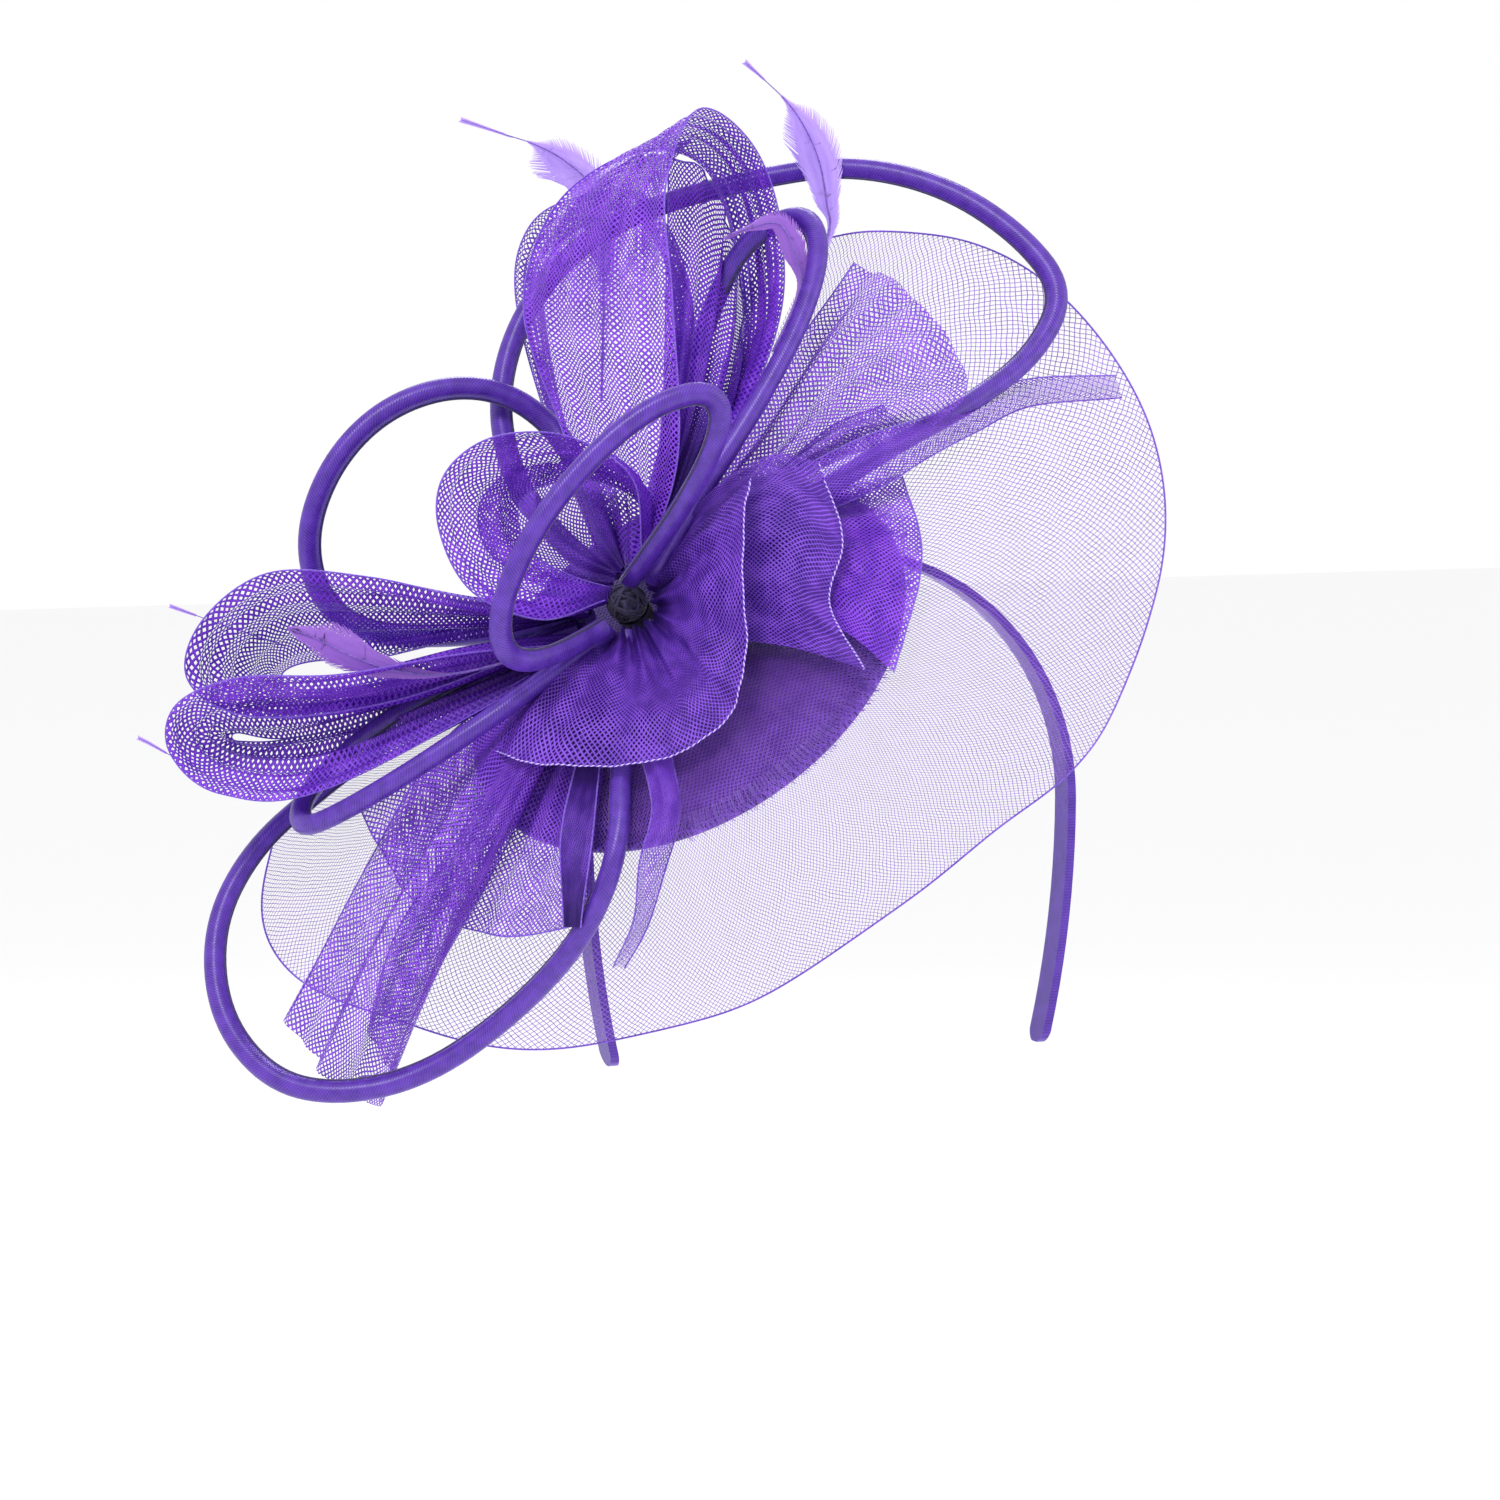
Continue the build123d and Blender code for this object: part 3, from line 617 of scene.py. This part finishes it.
NET_PIECES = {
    "tall_loop": dict(
        rails=[
            [(5, 9, 2), (15, 42, 10), (13, 88, 10), (11, 121, 6), (21, 145, -4), (37, 134, -12),
             (45, 107, -14), (41, 74, -12), (12, 12, -4)],
            [(-3, 13, -20), (-21, 56, -48), (-32, 91, -58), (-22, 122, -62), (3, 138, -62),
             (24, 132, -62), (34, 97, -60), (31, 62, -46), (6, 14, -22)]],
        spread=0.72, width=62, material="loop_net", replaces=("crin_tall_loop",), pleats=5, seed=3, along=96),
    "back_loop": dict(
        rails=[
            [(-9, 19, -34), (-26, 63, -70), (-35, 97, -78), (-32, 116, -80), (-20, 125, -80),
             (2, 127, -82), (16, 104, -84), (18, 70, -74), (3, 19, -36)],
            [(-7, 17, -44), (-22, 55, -90), (-28, 90, -106), (-26, 108, -110), (-14, 120, -112),
             (2, 121, -114), (12, 103, -112), (13, 68, -96), (2, 18, -46)]],
        spread=0.55, width=36, material="light_net", replaces=("crin_back_loop",), pleats=3, seed=4, along=80),
    "curl_loop": dict(
        rails=[
            [(-6, 0, 14), (-24, -6, 28), (-44, 2, 36), (-53, 20, 40), (-51, 36, 38), (-37, 47, 32),
             (-15, 48, 24), (4, 36, 16), (7, 12, 10)],
            [(-4, 4, 0), (-16, 7, 0), (-27, 13, 0), (-32, 22, -2), (-31, 31, -6), (-22, 36, -10),
             (-9, 37, -14), (4, 30, -16), (7, 13, -8)]],
        spread=0.62, width=50, material="loop_net", replaces=("crin_curl_loop",), pleats=3, seed=5, along=80),
    "left_upper_loop": dict(
        rails=[
            [(-11, -3, 4), (-43, 0, 8), (-75, 7, 12), (-104, 8, 12), (-123, -6, 10), (-127, -23, 8),
             (-108, -33, 6), (-66, -28, 2), (-14, -9, 2)],
            [(-11, -1, -12), (-44, -9, -24), (-74, -16, -34), (-95, -17, -42), (-104, -20, -46),
             (-103, -24, -46), (-92, -26, -44), (-62, -22, -30), (-14, -6, -12)]],
        spread=0.55, width=62, material="loop_net", replaces=("crin_left_upper_loop",), pleats=4, seed=6, along=90),
    "left_lower_loop": dict(
        rails=[
            [(-12, -11, 8), (-45, -14, 14), (-83, -21, 18), (-113, -22, 18), (-131, -30, 16),
             (-133, -44, 12), (-118, -56, 10), (-86, -54, 8), (-14, -16, 6)],
            [(-12, -10, -4), (-46, -22, -12), (-82, -35, -20), (-103, -40, -26), (-116, -39, -28),
             (-116, -40, -28), (-102, -40, -26), (-74, -34, -18), (-14, -13, -6)]],
        spread=0.55, width=54, material="loop_net", replaces=("crin_left_lower_loop",), pleats=4, seed=7, along=90),
    "right_fan": dict(
        tapered=True,
        rails=[
            [(8, 11, -8), (23, 32, -12), (40, 57, -16), (54, 81, -20), (67, 102, -24)],
            [(10, 10, 0), (26, 28, 0), (46, 50, 0), (65, 75, -4), (84, 91, -8)],
            [(11, 9, 4), (29, 25, 6), (51, 43, 8), (77, 59, 6), (100, 65, 4)],
            [(10, 8, 0), (29, 23, 0), (48, 36, 0), (68, 46, -2), (87, 50, -2)],
            [(9, 9, -8), (25, 25, -14), (43, 41, -20), (60, 55, -24), (76, 60, -26)]],
        width=96, material="light_net", replaces=("crin_right_fan",), pleats=5, seed=8, edges=(0, 1)),
    "front_petal": dict(
        tapered=True,
        rails=[
            [(6, 5, 2), (19, 19, 14), (27, 27, 24), (36, 35, 30)],
            [(8, 1, 4), (19, 7, 22), (27, 11, 34), (34, 15, 40)],
            [(9, -3, 6), (19, -7, 28), (27, -12, 42), (35, -15, 48)],
            [(7, -6, 8), (16, -17, 30), (22, -26, 44), (30, -34, 50)],
            [(3, -8, 8), (9, -23, 30), (12, -33, 44), (14, -45, 50)],
            [(0, -8, 8), (-1, -23, 28), (-3, -35, 40), (-5, -48, 46)],
            [(-4, -8, 6), (-13, -20, 22), (-20, -33, 32), (-27, -47, 36)],
            [(-7, -6, 2), (-19, -15, 9), (-29, -27, 16), (-39, -43, 22)]],
        width=125, material="front_net", end=True, stitch="edge_thread", replaces=("crin_front_petal",),
        pleats=7, pleat_depth=1.4, seed=9, along=44, across=84, edges=()),
    "middle_petal": dict(
        tapered=True,
        rails=[
            [(8, 8, 4), (23, 30, 16), (42, 42, 18), (56, 40, 16)],
            [(10, 5, 5), (26, 22, 17), (48, 28, 24), (63, 18, 28)],
            [(11, 1, 5), (29, 6, 20), (46, 6, 30), (59, -1, 38)],
            [(10, -4, 5), (30, -11, 26), (48, -14, 41), (69, -21, 61)]],
        spread=0.9, width=80, material="front_net", end=True, stitch="edge_thread",
        replaces=("crin_middle_petal",), pleats=4, pleat_depth=1.2, seed=10, along=44, across=50, edges=()),
    "outer_petal": dict(
        tapered=True,
        rails=[
            [(11, 10, -3), (36, 24, -4), (59, 33, -2), (81, 37, -2)],
            [(12, 6, -2), (39, 12, 6), (62, 15, 17), (86, 12, 24)],
            [(12, 2, 0), (39, -1, 19), (62, -9, 41), (77, -21, 58)]],
        spread=0.7, width=86, material="loop_net", end=True, replaces=("crin_outer_petal",),
        pleats=4, pleat_depth=1.2, seed=11, along=50, across=50, edges=()),
    "rear_petal": dict(
        tapered=True,
        rails=[
            [(-11, -11, -7), (-38, -31, -5), (-59, -46, -4), (-80, -60, -12)],
            [(-10, -14, -2), (-30, -43, 11), (-46, -69, 16), (-62, -87, 10)],
            [(-7, -15, 1), (-18, -46, 23), (-28, -75, 33), (-36, -97, 27)],
            [(-4, -15, 4), (-7, -46, 29), (-9, -72, 47), (-10, -93, 43)]],
        spread=0.7, width=110, material="light_net", end=True, replaces=("crin_rear_petal",),
        pleats=5, seed=12, along=56, across=60, edges=()),
    "lower_tail": dict(
        rails=[
            [(-12, -13, -3), (-37, -29, 3), (-56, -45, 4), (-78, -81, 2), (-101, -121, -4)],
            [(-10, -15, 6), (-32, -42, 24), (-51, -72, 31), (-68, -101, 28), (-86, -139, 14)],
            [(-8, -16, 6), (-25, -51, 30), (-41, -83, 32), (-58, -116, 14), (-72, -146, -2)],
            [(-9, -15, 2), (-31, -40, 16), (-49, -67, 20), (-68, -97, 4), (-74, -126, -16)]],
        width=104, material="light_net", replaces=("crin_lower_tail",), pleats=4, seed=13, along=70,
        across=44, edges=(0, 1)),
    "veil_crease_right": dict(
        rails=[
            [(20, 14, 8), (42, 33, 14), (66, 46, 14), (82, 52, 6), (100, 59, -14), (118, 67, -28), (146, 69, -40)],
            [(20, 11, 10), (46, 28, 18), (70, 40, 18), (84, 47, 9), (101, 55, -12), (119, 63, -26),
             (147, 66, -40)],
            [(22, 8, 8), (50, 22, 12), (74, 33, 12), (88, 42, 2), (103, 51, -18), (120, 60, -31),
             (148, 63, -44)]],
        width=26, material="crease_net", slot="veil_net", replaces=(), pleats=2, pleat_depth=1.2, seed=17, thin=0.75,
        along=90, across=20),
    "veil_crease_front": dict(
        rails=[
            [(4, -42, 40), (8, -60, 52), (5, -76, 54), (3, -92, 46.5), (-3, -106, 33)],
            [(9, -42, 43), (13, -60, 56), (9, -76, 58), (6, -92, 49), (-2, -106, 34)],
            [(13, -42, 40), (16, -60, 51), (13, -76, 53), (8, -92, 46), (0, -106, 33)]],
        width=20, material="crease_net", slot="veil_net", replaces=(), pleats=2, pleat_depth=0.8, seed=18, thin=0.8,
        along=60, across=14),
    "tall_loop_doubling": dict(
        rails=[
            [(-30, 84, -53), (-29, 100, -55), (-23, 116, -57), (-10, 129, -55), (2, 136, -52)],
            [(-14, 80, -26), (-12, 98, -26), (-8, 114, -28), (0, 126, -30), (9, 134, -28)],
            [(9, 84, 1), (10, 100, 1), (10, 116, -1), (13, 129, -5), (19, 139, -10)]],
        width=74, spread=0.8, material="loop_net", replaces=(), pleats=3, pleat_depth=1.2, seed=19,
        start=0.6, along=40, edges=()),
    "tall_loop_fold": dict(
        tapered=True,
        rails=[
            [(4, 11, -8), (10, 50, -12), (11, 95, -18), (11, 134, -32)],
            [(6, 12, -8), (15, 52, -12), (20, 95, -20), (22, 130, -38)],
            [(7, 12, -8), (20, 52, -14), (27, 86, -24), (30, 114, -42)],
            [(8, 12, -10), (24, 48, -18), (32, 74, -30), (34.5, 95, -46)],
            [(8, 11, -12), (22, 40, -20), (30, 58, -32), (34.5, 74, -44)]],
        spread=0.8, width=70, material="loop_net", replaces=(), pleats=5, seed=15, along=60, end=True),
    "curl_loop_back": dict(
        rails=[
            [(-5, 3, -2), (-22, 4, -6), (-40, 14, -8), (-44, 28, -12), (-36, 40, -14)],
            [(-3, 8, -6), (-14, 14, -10), (-24, 24, -14), (-26, 34, -16), (-22, 42, -18)],
            [(0, 12, -10), (-2, 24, -16), (-4, 34, -18), (-6, 40, -20), (-8, 46, -20)]],
        spread=0.8, width=66, material="light_net", replaces=(), pleats=3, seed=16, along=44, edges=(0, 1)),
    "bottom_tail": dict(
        rails=[
            [(-10, -29, 18), (-14, -49, 34), (-18, -70, 50), (-17, -94, 48)],
            [(-5, -29, 20), (-7, -49, 36), (-9, -72, 54), (-12, -94, 51)]],
        width=22, material="front_net", replaces=("crin_bottom_tail",), pleats=2, pleat_depth=0.8,
        seed=14, along=40, across=14, edges=(0, 1)),
}


def make_net_pieces():
    for name, facts in NET_PIECES.items():
        net_piece(f"crin_{name}_net", **facts)


# ---------------------------------------------------------------- veil

VEIL_START = 8.0
VEIL_KNOT_GAP = 10.5
VEIL_FLAT = 54.0
VEIL_WIDTH = 152.0
VEIL_EDGE = [
    (66, 130, -78), (50, 153, -66), (24, 166, -50), (0, 150, -34), (-20, 131, 2), (-40, 114, 16),
    (-65, 111, 20), (-90, 121, 6), (-120, 138, -16), (-140, 146, -40), (-153, 124, -50),
]
VEIL_PLEATS = 11


VEIL_GATHER = (KNOT - DISC_NORMAL * VEIL_KNOT_GAP * MM - KNOT) / MM
VEIL_CENTRE = Vector((VEIL_GATHER.dot(ACROSS), VEIL_GATHER.dot(UPWARD), VEIL_GATHER.dot(OUTWARD)))
TILT_X = -DISC_NORMAL.dot(ACROSS) / DISC_NORMAL.dot(OUTWARD)
TILT_Y = -DISC_NORMAL.dot(UPWARD) / DISC_NORMAL.dot(OUTWARD)


def veil_point(degrees, reach, depth, distance, lift):
    """Point of the veil in a direction and at a distance from where it is gathered."""
    angle = radians(degrees)
    slope = TILT_X * cos(angle) + TILT_Y * sin(angle)
    bend = (VEIL_CENTRE.z + slope * reach - depth) / (reach - VEIL_FLAT) ** 1.5
    fall = bend * max(0.0, distance - VEIL_FLAT) ** 1.5
    return trim((VEIL_CENTRE.x + cos(angle) * distance, VEIL_CENTRE.y + sin(angle) * distance,
                 VEIL_CENTRE.z + slope * distance - fall + lift))


def make_veil():
    """Wide fan of net, gathered under the trimming; it bends down over the edge of the disc."""
    edge = [Vector(corner) for corner in VEIL_EDGE]

    def place(u, v):
        degrees, reach, depth = curve_through(edge, v)
        wavy = reach * (1 + 0.008 * sin(23 * v) + 0.006 * sin(51 * v + 1))
        distance = VEIL_START + (wavy - VEIL_START) * u
        fold = sin(2 * pi * VEIL_PLEATS * v + 1.1 * sin(3 * u)) + 0.5 * sin(2 * pi * 5.3 * v + 2)
        ripple = fold * (0.5 + 2.2 * u * u) * (1 if distance > VEIL_FLAT else 0.55)
        return veil_point(degrees, reach, depth, distance, ripple)

    obj, shares = grid_piece(84, 260, place, lambda u, v: (u * VEIL_WIDTH, v * 560))
    # This value rises toward the veil's gathered centre; it packs the threads and darkens them there as painted
    # shade.
    gather_and_shade = obj.data.attributes.new("gather_and_shade", "FLOAT", "POINT")
    for index, (u, v) in enumerate(shares):
        gather_and_shade.data[index].value = min(2.2, max(1.0, (0.55 / max(u, 0.05)) ** 0.7))
    finish(obj, "veil_net_fan", "veil_net", "veil_net", ("veil",))
    rim = [place(1, step / 260) for step in range(261)]
    inner = [place(0, step / 260) for step in range(261)]
    reaches = [line_length([place(step / 84, column / 10) for step in range(85)]) for column in range(11)]
    depth = sum(reaches) / len(reaches)
    cut = (line_length(inner) + line_length(rim)) / 2 * depth
    line_length(rim)
    finish(tube_piece(rim, 0.3 * MM, 6), "veil_rim_thread", "edge_line", "veil_net")


# ---------------------------------------------------------------- satin tubes

TUBE_RADIUS = 3.2
TUBE_ROUTES = {
    "tube_top_loop": [
        (-8, 8, -14), (-25, 22, -34), (-37, 41, -50), (-41, 65, -63), (-34, 90, -71),
        (-16, 112, -71), (9, 124, -71), (37, 131, -69), (66, 135, -62), (95, 128, -54),
        (118, 112, -44), (131, 94, -35), (122, 75, -28), (103, 60, -17), (78, 46, -1),
        (48, 26, 11), (18, 8, 3)],
    "tube_left_loop": [
        (-4, 10, -16), (-10, 31, -44), (-20, 52, -57), (-36, 65, -52), (-55, 67, -46),
        (-75, 59, -42), (-90, 43, -41), (-98, 22, -44), (-95, 3, -51), (-82, -8, -51),
        (-61, -10, -43), (-33, -8, -30), (-11, -4, -16)],
    "tube_front_ring": [
        (1, 6, 10), (15, 24, 28), (26, 43, 39), (29, 55, 45), (22, 60, 50), (5, 53, 54),
        (-14, 35, 56), (-28, 15, 56), (-36, -5, 52), (-34, -18, 45), (-22, -18, 35), (-7, -8, 15)],
    "tube_low_loop": [
        (-11, -7, -13), (-38, -18, -27), (-68, -37, -34), (-92, -55, -30), (-112, -73, -20),
        (-123, -96, -12), (-120, -122, 0), (-104, -140, 14), (-83, -144, 22), (-57, -138, 22),
        (-31, -119, 30), (-11, -97, 47), (-1, -73, 56), (-1, -48, 38), (1, -23, 18), (0, -10, 7)],
    "tube_narrow_loop": [
        (-5, -9, 8), (-30, -28, 27), (-59, -48, 27), (-83, -62, 18), (-96, -67, 6), (-96, -57, -8),
        (-77, -38, -14), (-47, -20, -13), (-14, -7, -9)],
    "tube_tall_loop": [
        (7, 6, 4), (20, 29, 13), (35, 52, 10), (51, 81, 0), (58, 106, -14), (52, 118, -27),
        (34, 109, -33), (23, 85, -34), (15, 55, -30), (8, 25, -20), (2, 8, -14)],
}


def make_satin_tube(name, route):
    """Bias tube of satin over a cord, with the sewn seam that stands along its inner side."""
    points = route_points([trim(place) for place in route])
    centre = sum(points, Vector()) / len(points)
    inward = centre - points[0]

    def profile(angle):
        turned = abs((angle + pi) % (2 * pi) - pi)
        ridge = max(0.0, 1 - turned / 0.42)
        return 0.97 + 0.16 * ridge**1.5 - 0.05 * sin(angle) ** 2

    frames = []
    sides = []
    for index, point in enumerate(points):
        before = points[max(index - 1, 0)]
        after = points[min(index + 1, len(points) - 1)]
        tangent = (after - before).normalized()
        side = centre - point
        side = (side - tangent * side.dot(tangent)).normalized()
        frames.append(tangent)
        sides.append(side)
    count = len(points)
    lengths = [0.0]
    for before, after in zip(points, points[1:]):
        lengths.append(lengths[-1] + (after - before).length / MM)

    def place(u, v):
        index = round(u * (count - 1))
        angle = 2 * pi * v
        other = frames[index].cross(sides[index])
        return points[index] + (sides[index] * cos(angle) + other * sin(angle)) * (
            TUBE_RADIUS * MM * profile(angle))

    def uv(u, v):
        return lengths[round(u * (count - 1))], v * 2 * pi * TUBE_RADIUS

    obj, _ = grid_piece(count - 1, 28, place, uv, seamless=True)
    bpy.ops.object.mode_set(mode="EDIT")
    bpy.ops.mesh.select_all(action="DESELECT")
    bpy.ops.mesh.select_non_manifold()
    bpy.ops.mesh.fill()
    bpy.ops.object.mode_set(mode="OBJECT")
    finish(obj, f"{name}_satin", "tube_satin", "purple_satin", (name,))
    seam = [points[i] + sides[i] * TUBE_RADIUS * 1.1 * MM for i in range(count)]
    finish(tube_piece(seam, 0.45 * MM, 6, inward), f"{name}_seam", "seam_thread", "purple_satin")


# ---------------------------------------------------------------- feathers


def make_feather(name, spine, left, right, material, replaces, barbs=170, slot="lavender_feather", curl=2.0,
                 stem=0.4):
    """Feather: a tapering quill with separate barbs; left and right are vane widths along it."""
    points = [trim(place) for place in spine]
    line = [curve_through(points, step / 60) for step in range(61)]
    quill = tube_piece(line, stem * MM, 8, OUTWARD, taper=lambda u: 1 - 0.7 * u)
    finish(quill, f"{name}_quill", "quill", slot)
    chance = Random(len(name) + barbs)
    vertices = []
    faces = []
    uvs = []
    for hand, widths in ((-1, left), (1, right)):
        for step in range(barbs):
            share = step / (barbs - 1)
            start = curve_through(points, share)
            ahead = (curve_through(points, min(share + 0.02, 1)) - curve_through(points, max(share - 0.02, 0)))
            ahead.normalize()
            sideways = ahead.cross(OUTWARD).normalized() * hand
            reach = curve_through([Vector((width, 0, 0)) for width in widths], share).x
            if reach < 0.4:
                continue
            reach *= 1.45 * chance.uniform(0.92, 1.03)
            slant = 0.95 + chance.uniform(-0.08, 0.08)
            tip = start + (sideways + ahead * slant) * reach * MM * 0.72 - OUTWARD * curl * MM * (reach / 12)
            bow = (start + tip) / 2 + (sideways * 0.12 - ahead * 0.10) * reach * MM
            half = ahead * 0.42 * MM
            first = len(vertices)
            for place, thin in ((start, 1.0), (bow, 0.9), (tip, 0.25)):
                vertices += [place - half * thin, place + half * thin]
            for low, level in ((0, 0.1), (2, 0.6)):
                faces.append((first + low, first + low + 1, first + low + 3, first + low + 2))
                uvs.append([(level, share), (level, share), (level + 0.4, share), (level + 0.4, share)])
    mesh = bpy.data.meshes.new(name)
    mesh.from_pydata(vertices, [], faces)
    layer = mesh.uv_layers.new(name="UVMap")
    for face, corners in zip(mesh.polygons, uvs):
        for loop_index, corner in zip(face.loop_indices, corners):
            layer.data[loop_index].uv = corner
    vane = bpy.data.objects.new(name, mesh)
    bpy.context.collection.objects.link(vane)
    finish(vane, f"{name}_vane", material, slot, replaces)


def make_feathers():
    make_feather("feather_back", [(-9, 63, -65), (-9, 100, -92), (-10, 117, -94), (-13, 131, -95), (-21, 139, -96),
                                  (-30, 144, -96), (-40, 147.5, -97), (-53, 152, -98)],
                 [0.2, 2, 6, 9, 8, 1, 0.5, 1.0], [0.2, 3, 5, 6, 5, 0.8, 0.4, 0.8], "lavender", ("feather_back",))
    make_feather("feather_top", [(52, 92, -50), (60, 113, -54), (59.5, 122, -55), (57.5, 134, -56), (53.5, 144, -56),
                                 (48, 152.5, -57), (40.5, 160, -58), (35, 165, -58)],
                 [0.2, 0.6, 4, 8, 5, 0.8, 0.4, 0.9], [0.2, 2, 5, 7, 5, 0.8, 0.4, 0.9], "lavender",
                 ("feather_top",))
    make_feather("feather_inner", [(43, 74, -6), (51, 92, -12), (50, 102, -13), (45, 112, -13), (36, 111, -13),
                                   (29, 108, -13)],
                 [0.2, 1.2, 3.5, 2.5, 0.8, 0.6], [0.2, 1.5, 4, 3, 0.8, 0.6], "mauve", ("feather_inner",),
                 slot="mauve_feather")
    make_feather("feather_left", [(-15, -12, 9), (-49, -21, 10), (-68, -20, 12), (-80, -16, 13), (-90, -11, 13),
                                  (-98, -8, 13)],
                 [0.1, 0.3, 3, 5, 3, 0.5], [0.1, 0.3, 4, 7, 3, 0.5], "mauve", ("feather_left",),
                 slot="mauve_feather")
    for name, spine in (("feather_quill_upper", [(-104, -12, -48), (-122, -6, -52), (-139, 0, -54)]),
                        ("feather_quill_lower", [(-104, -42, -34), (-128, -48, -36), (-147, -40, -38)])):
        make_feather(name, spine, [0.02, 0.1, 0.7], [0.02, 0.1, 0.7], "lavender", (name,), barbs=60,
                     curl=0, stem=0.3)


# ---------------------------------------------------------------- knot, stitches and clip


def ring(name, place, normal, radius, wire, material, slot, body=ROOT):
    bpy.ops.object.select_all(action="DESELECT")
    bpy.ops.mesh.primitive_torus_add(major_radius=radius, minor_radius=wire, major_segments=40, minor_segments=8)
    obj = bpy.context.active_object
    turn = normal.to_track_quat("Z", "Y").to_matrix().to_4x4()
    turn.translation = place
    obj.data.transform(turn)
    bpy.ops.object.shade_smooth()
    return finish(obj, name, material, slot, body=body)


def make_knot():
    """Gathered ends in a ball, bound with dark thread, on the stem that is sewn to the disc."""
    bpy.ops.object.select_all(action="DESELECT")
    bpy.ops.mesh.primitive_uv_sphere_add(segments=48, ring_count=24, radius=0.50 * KNOT_RADIUS * MM)
    ball = bpy.context.active_object
    for vertex in ball.data.vertices:
        way = vertex.co.normalized()
        crease = 0.10 * sin(9 * way.x + 7 * way.z) + 0.08 * sin(14 * way.y - 6 * way.x)
        vertex.co = KNOT + vertex.co * (1 + crease)
    bpy.ops.object.shade_smooth()
    finish(ball, "knot_gathers", "knot_thread", "purple_thread", ("binding_knot",))
    chance = Random(21)
    for turn in range(9):
        tilt = Vector((chance.uniform(-1, 1), chance.uniform(-1, 1), chance.uniform(-1, 1))).normalized()
        ring(f"knot_wrap_{turn}", KNOT + tilt * 1.5 * MM, tilt, 0.55 * KNOT_RADIUS * MM, 0.4 * MM,
             "knot_thread", "purple_thread")
    stem = [KNOT - DISC_NORMAL * step * MM for step in (4, 8, 12, 15)]
    line = route_points(stem)
    finish(tube_piece(line, 5.4 * MM, 24), "knot_stem", "knot_thread", "purple_thread")


def make_stitches():
    """Hand stitches that hold the pad: two rows across the middle of the disc."""
    for index in range(26):
        share = index / 25
        for hand in (-1, 1):
            x = (share - 0.5) * 48
            line = [on_disc(x + step, hand * 6.6, rise) for step, rise in ((-1, 3.15), (0, 2.85), (1, 3.15))]
            finish(tube_piece(line, 0.18 * MM, 6), f"pad_stitch_{index}_{hand + 1}", "edge_thread", "purple_thread")


def make_fringe():
    """Cut ends of the crin that covers the disc, standing out past its rim on the front side."""
    chance = Random(5)
    vertices = []
    faces = []
    for index in range(300):
        angle = radians(-128 + 190 * index / 299 + chance.uniform(-0.4, 0.4))
        out = Vector((cos(angle), sin(angle), 0))
        lean = Vector((-sin(angle), cos(angle), 0)) * chance.uniform(0.2, 0.6)
        length = chance.uniform(2.5, 5.0)
        start = out * (DISC_RADIUS - 3.5) + Vector((0, 0, 2.9))
        knee = out * (DISC_RADIUS + 1.6) + Vector((0, 0, 2.5))
        tip = knee + (out + lean) * length - Vector((0, 0, 1.2))
        side = Vector((-sin(angle), cos(angle), 0)) * 0.16
        first = len(vertices)
        for place, thin in ((start, 1), (knee, 1), (tip, 0.5)):
            vertices += [on_disc(*(place - side * thin)), on_disc(*(place + side * thin)),
                         on_disc(*(place + Vector((0, 0, 0.28 * thin))))]
        for low in (0, 3):
            for a, b in ((0, 1), (1, 2), (2, 0)):
                faces.append((first + low + a, first + low + b, first + low + 3 + b, first + low + 3 + a))
    mesh = bpy.data.meshes.new("disc_fringe")
    mesh.from_pydata(vertices, [], faces)
    layer = mesh.uv_layers.new(name="UVMap")
    for loop in mesh.loops:
        layer.data[loop.index].uv = (loop.vertex_index % 9, 0)
    fringe = bpy.data.objects.new("disc_fringe", mesh)
    bpy.context.collection.objects.link(fringe)
    finish(fringe, "disc_fringe", "fringe_thread", "purple_crin")


def make_clip_spring():
    """Small torsion spring round the clip's pin."""
    low, high = (Vector(corner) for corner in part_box("clip_spring"))
    centre = (low + high) / 2
    turns = 5
    line = []
    for step in range(turns * 16 + 1):
        angle = 2 * pi * step / 16
        along = (step / (turns * 16) - 0.5) * 3.2
        line.append(centre + (DISC_ALONG * cos(angle) + DISC_NORMAL * sin(angle)) * 1.05 * MM
                    + DISC_ACROSS * along * MM)
    coil = tube_piece(line, 0.2 * MM, 8, DISC_ACROSS)
    finish(coil, "clip_spring_coil", "clip_metal", "clip_steel", ("clip_spring",))


def dress_cad_nodes():
    """Gives the carried-over nodes their finishes."""
    finishes = {
        "headband_core": "core_steel", "headband_satin_sleeve": "band_satin", "base_disc": "sinamay",
        "base_rim_binding": "sinamay", "felt_pad": "felt", "band_saddle": "felt",
        "clip_plate": "clip_metal", "clip_jaw": "clip_metal", "clip_pin": "clip_metal",
    }
    for node, material in finishes.items():
        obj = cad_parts[node]
        for slot_index in range(len(obj.material_slots)):
            obj.material_slots[slot_index].material = MATERIALS[material]


add_camera()
add_studio()
dress_cad_nodes()
for tube_name, tube_route in TUBE_ROUTES.items():
    make_satin_tube(tube_name, tube_route)
make_net_pieces()
make_veil()
make_feathers()
make_knot()
make_stitches()
make_fringe()
make_clip_spring()
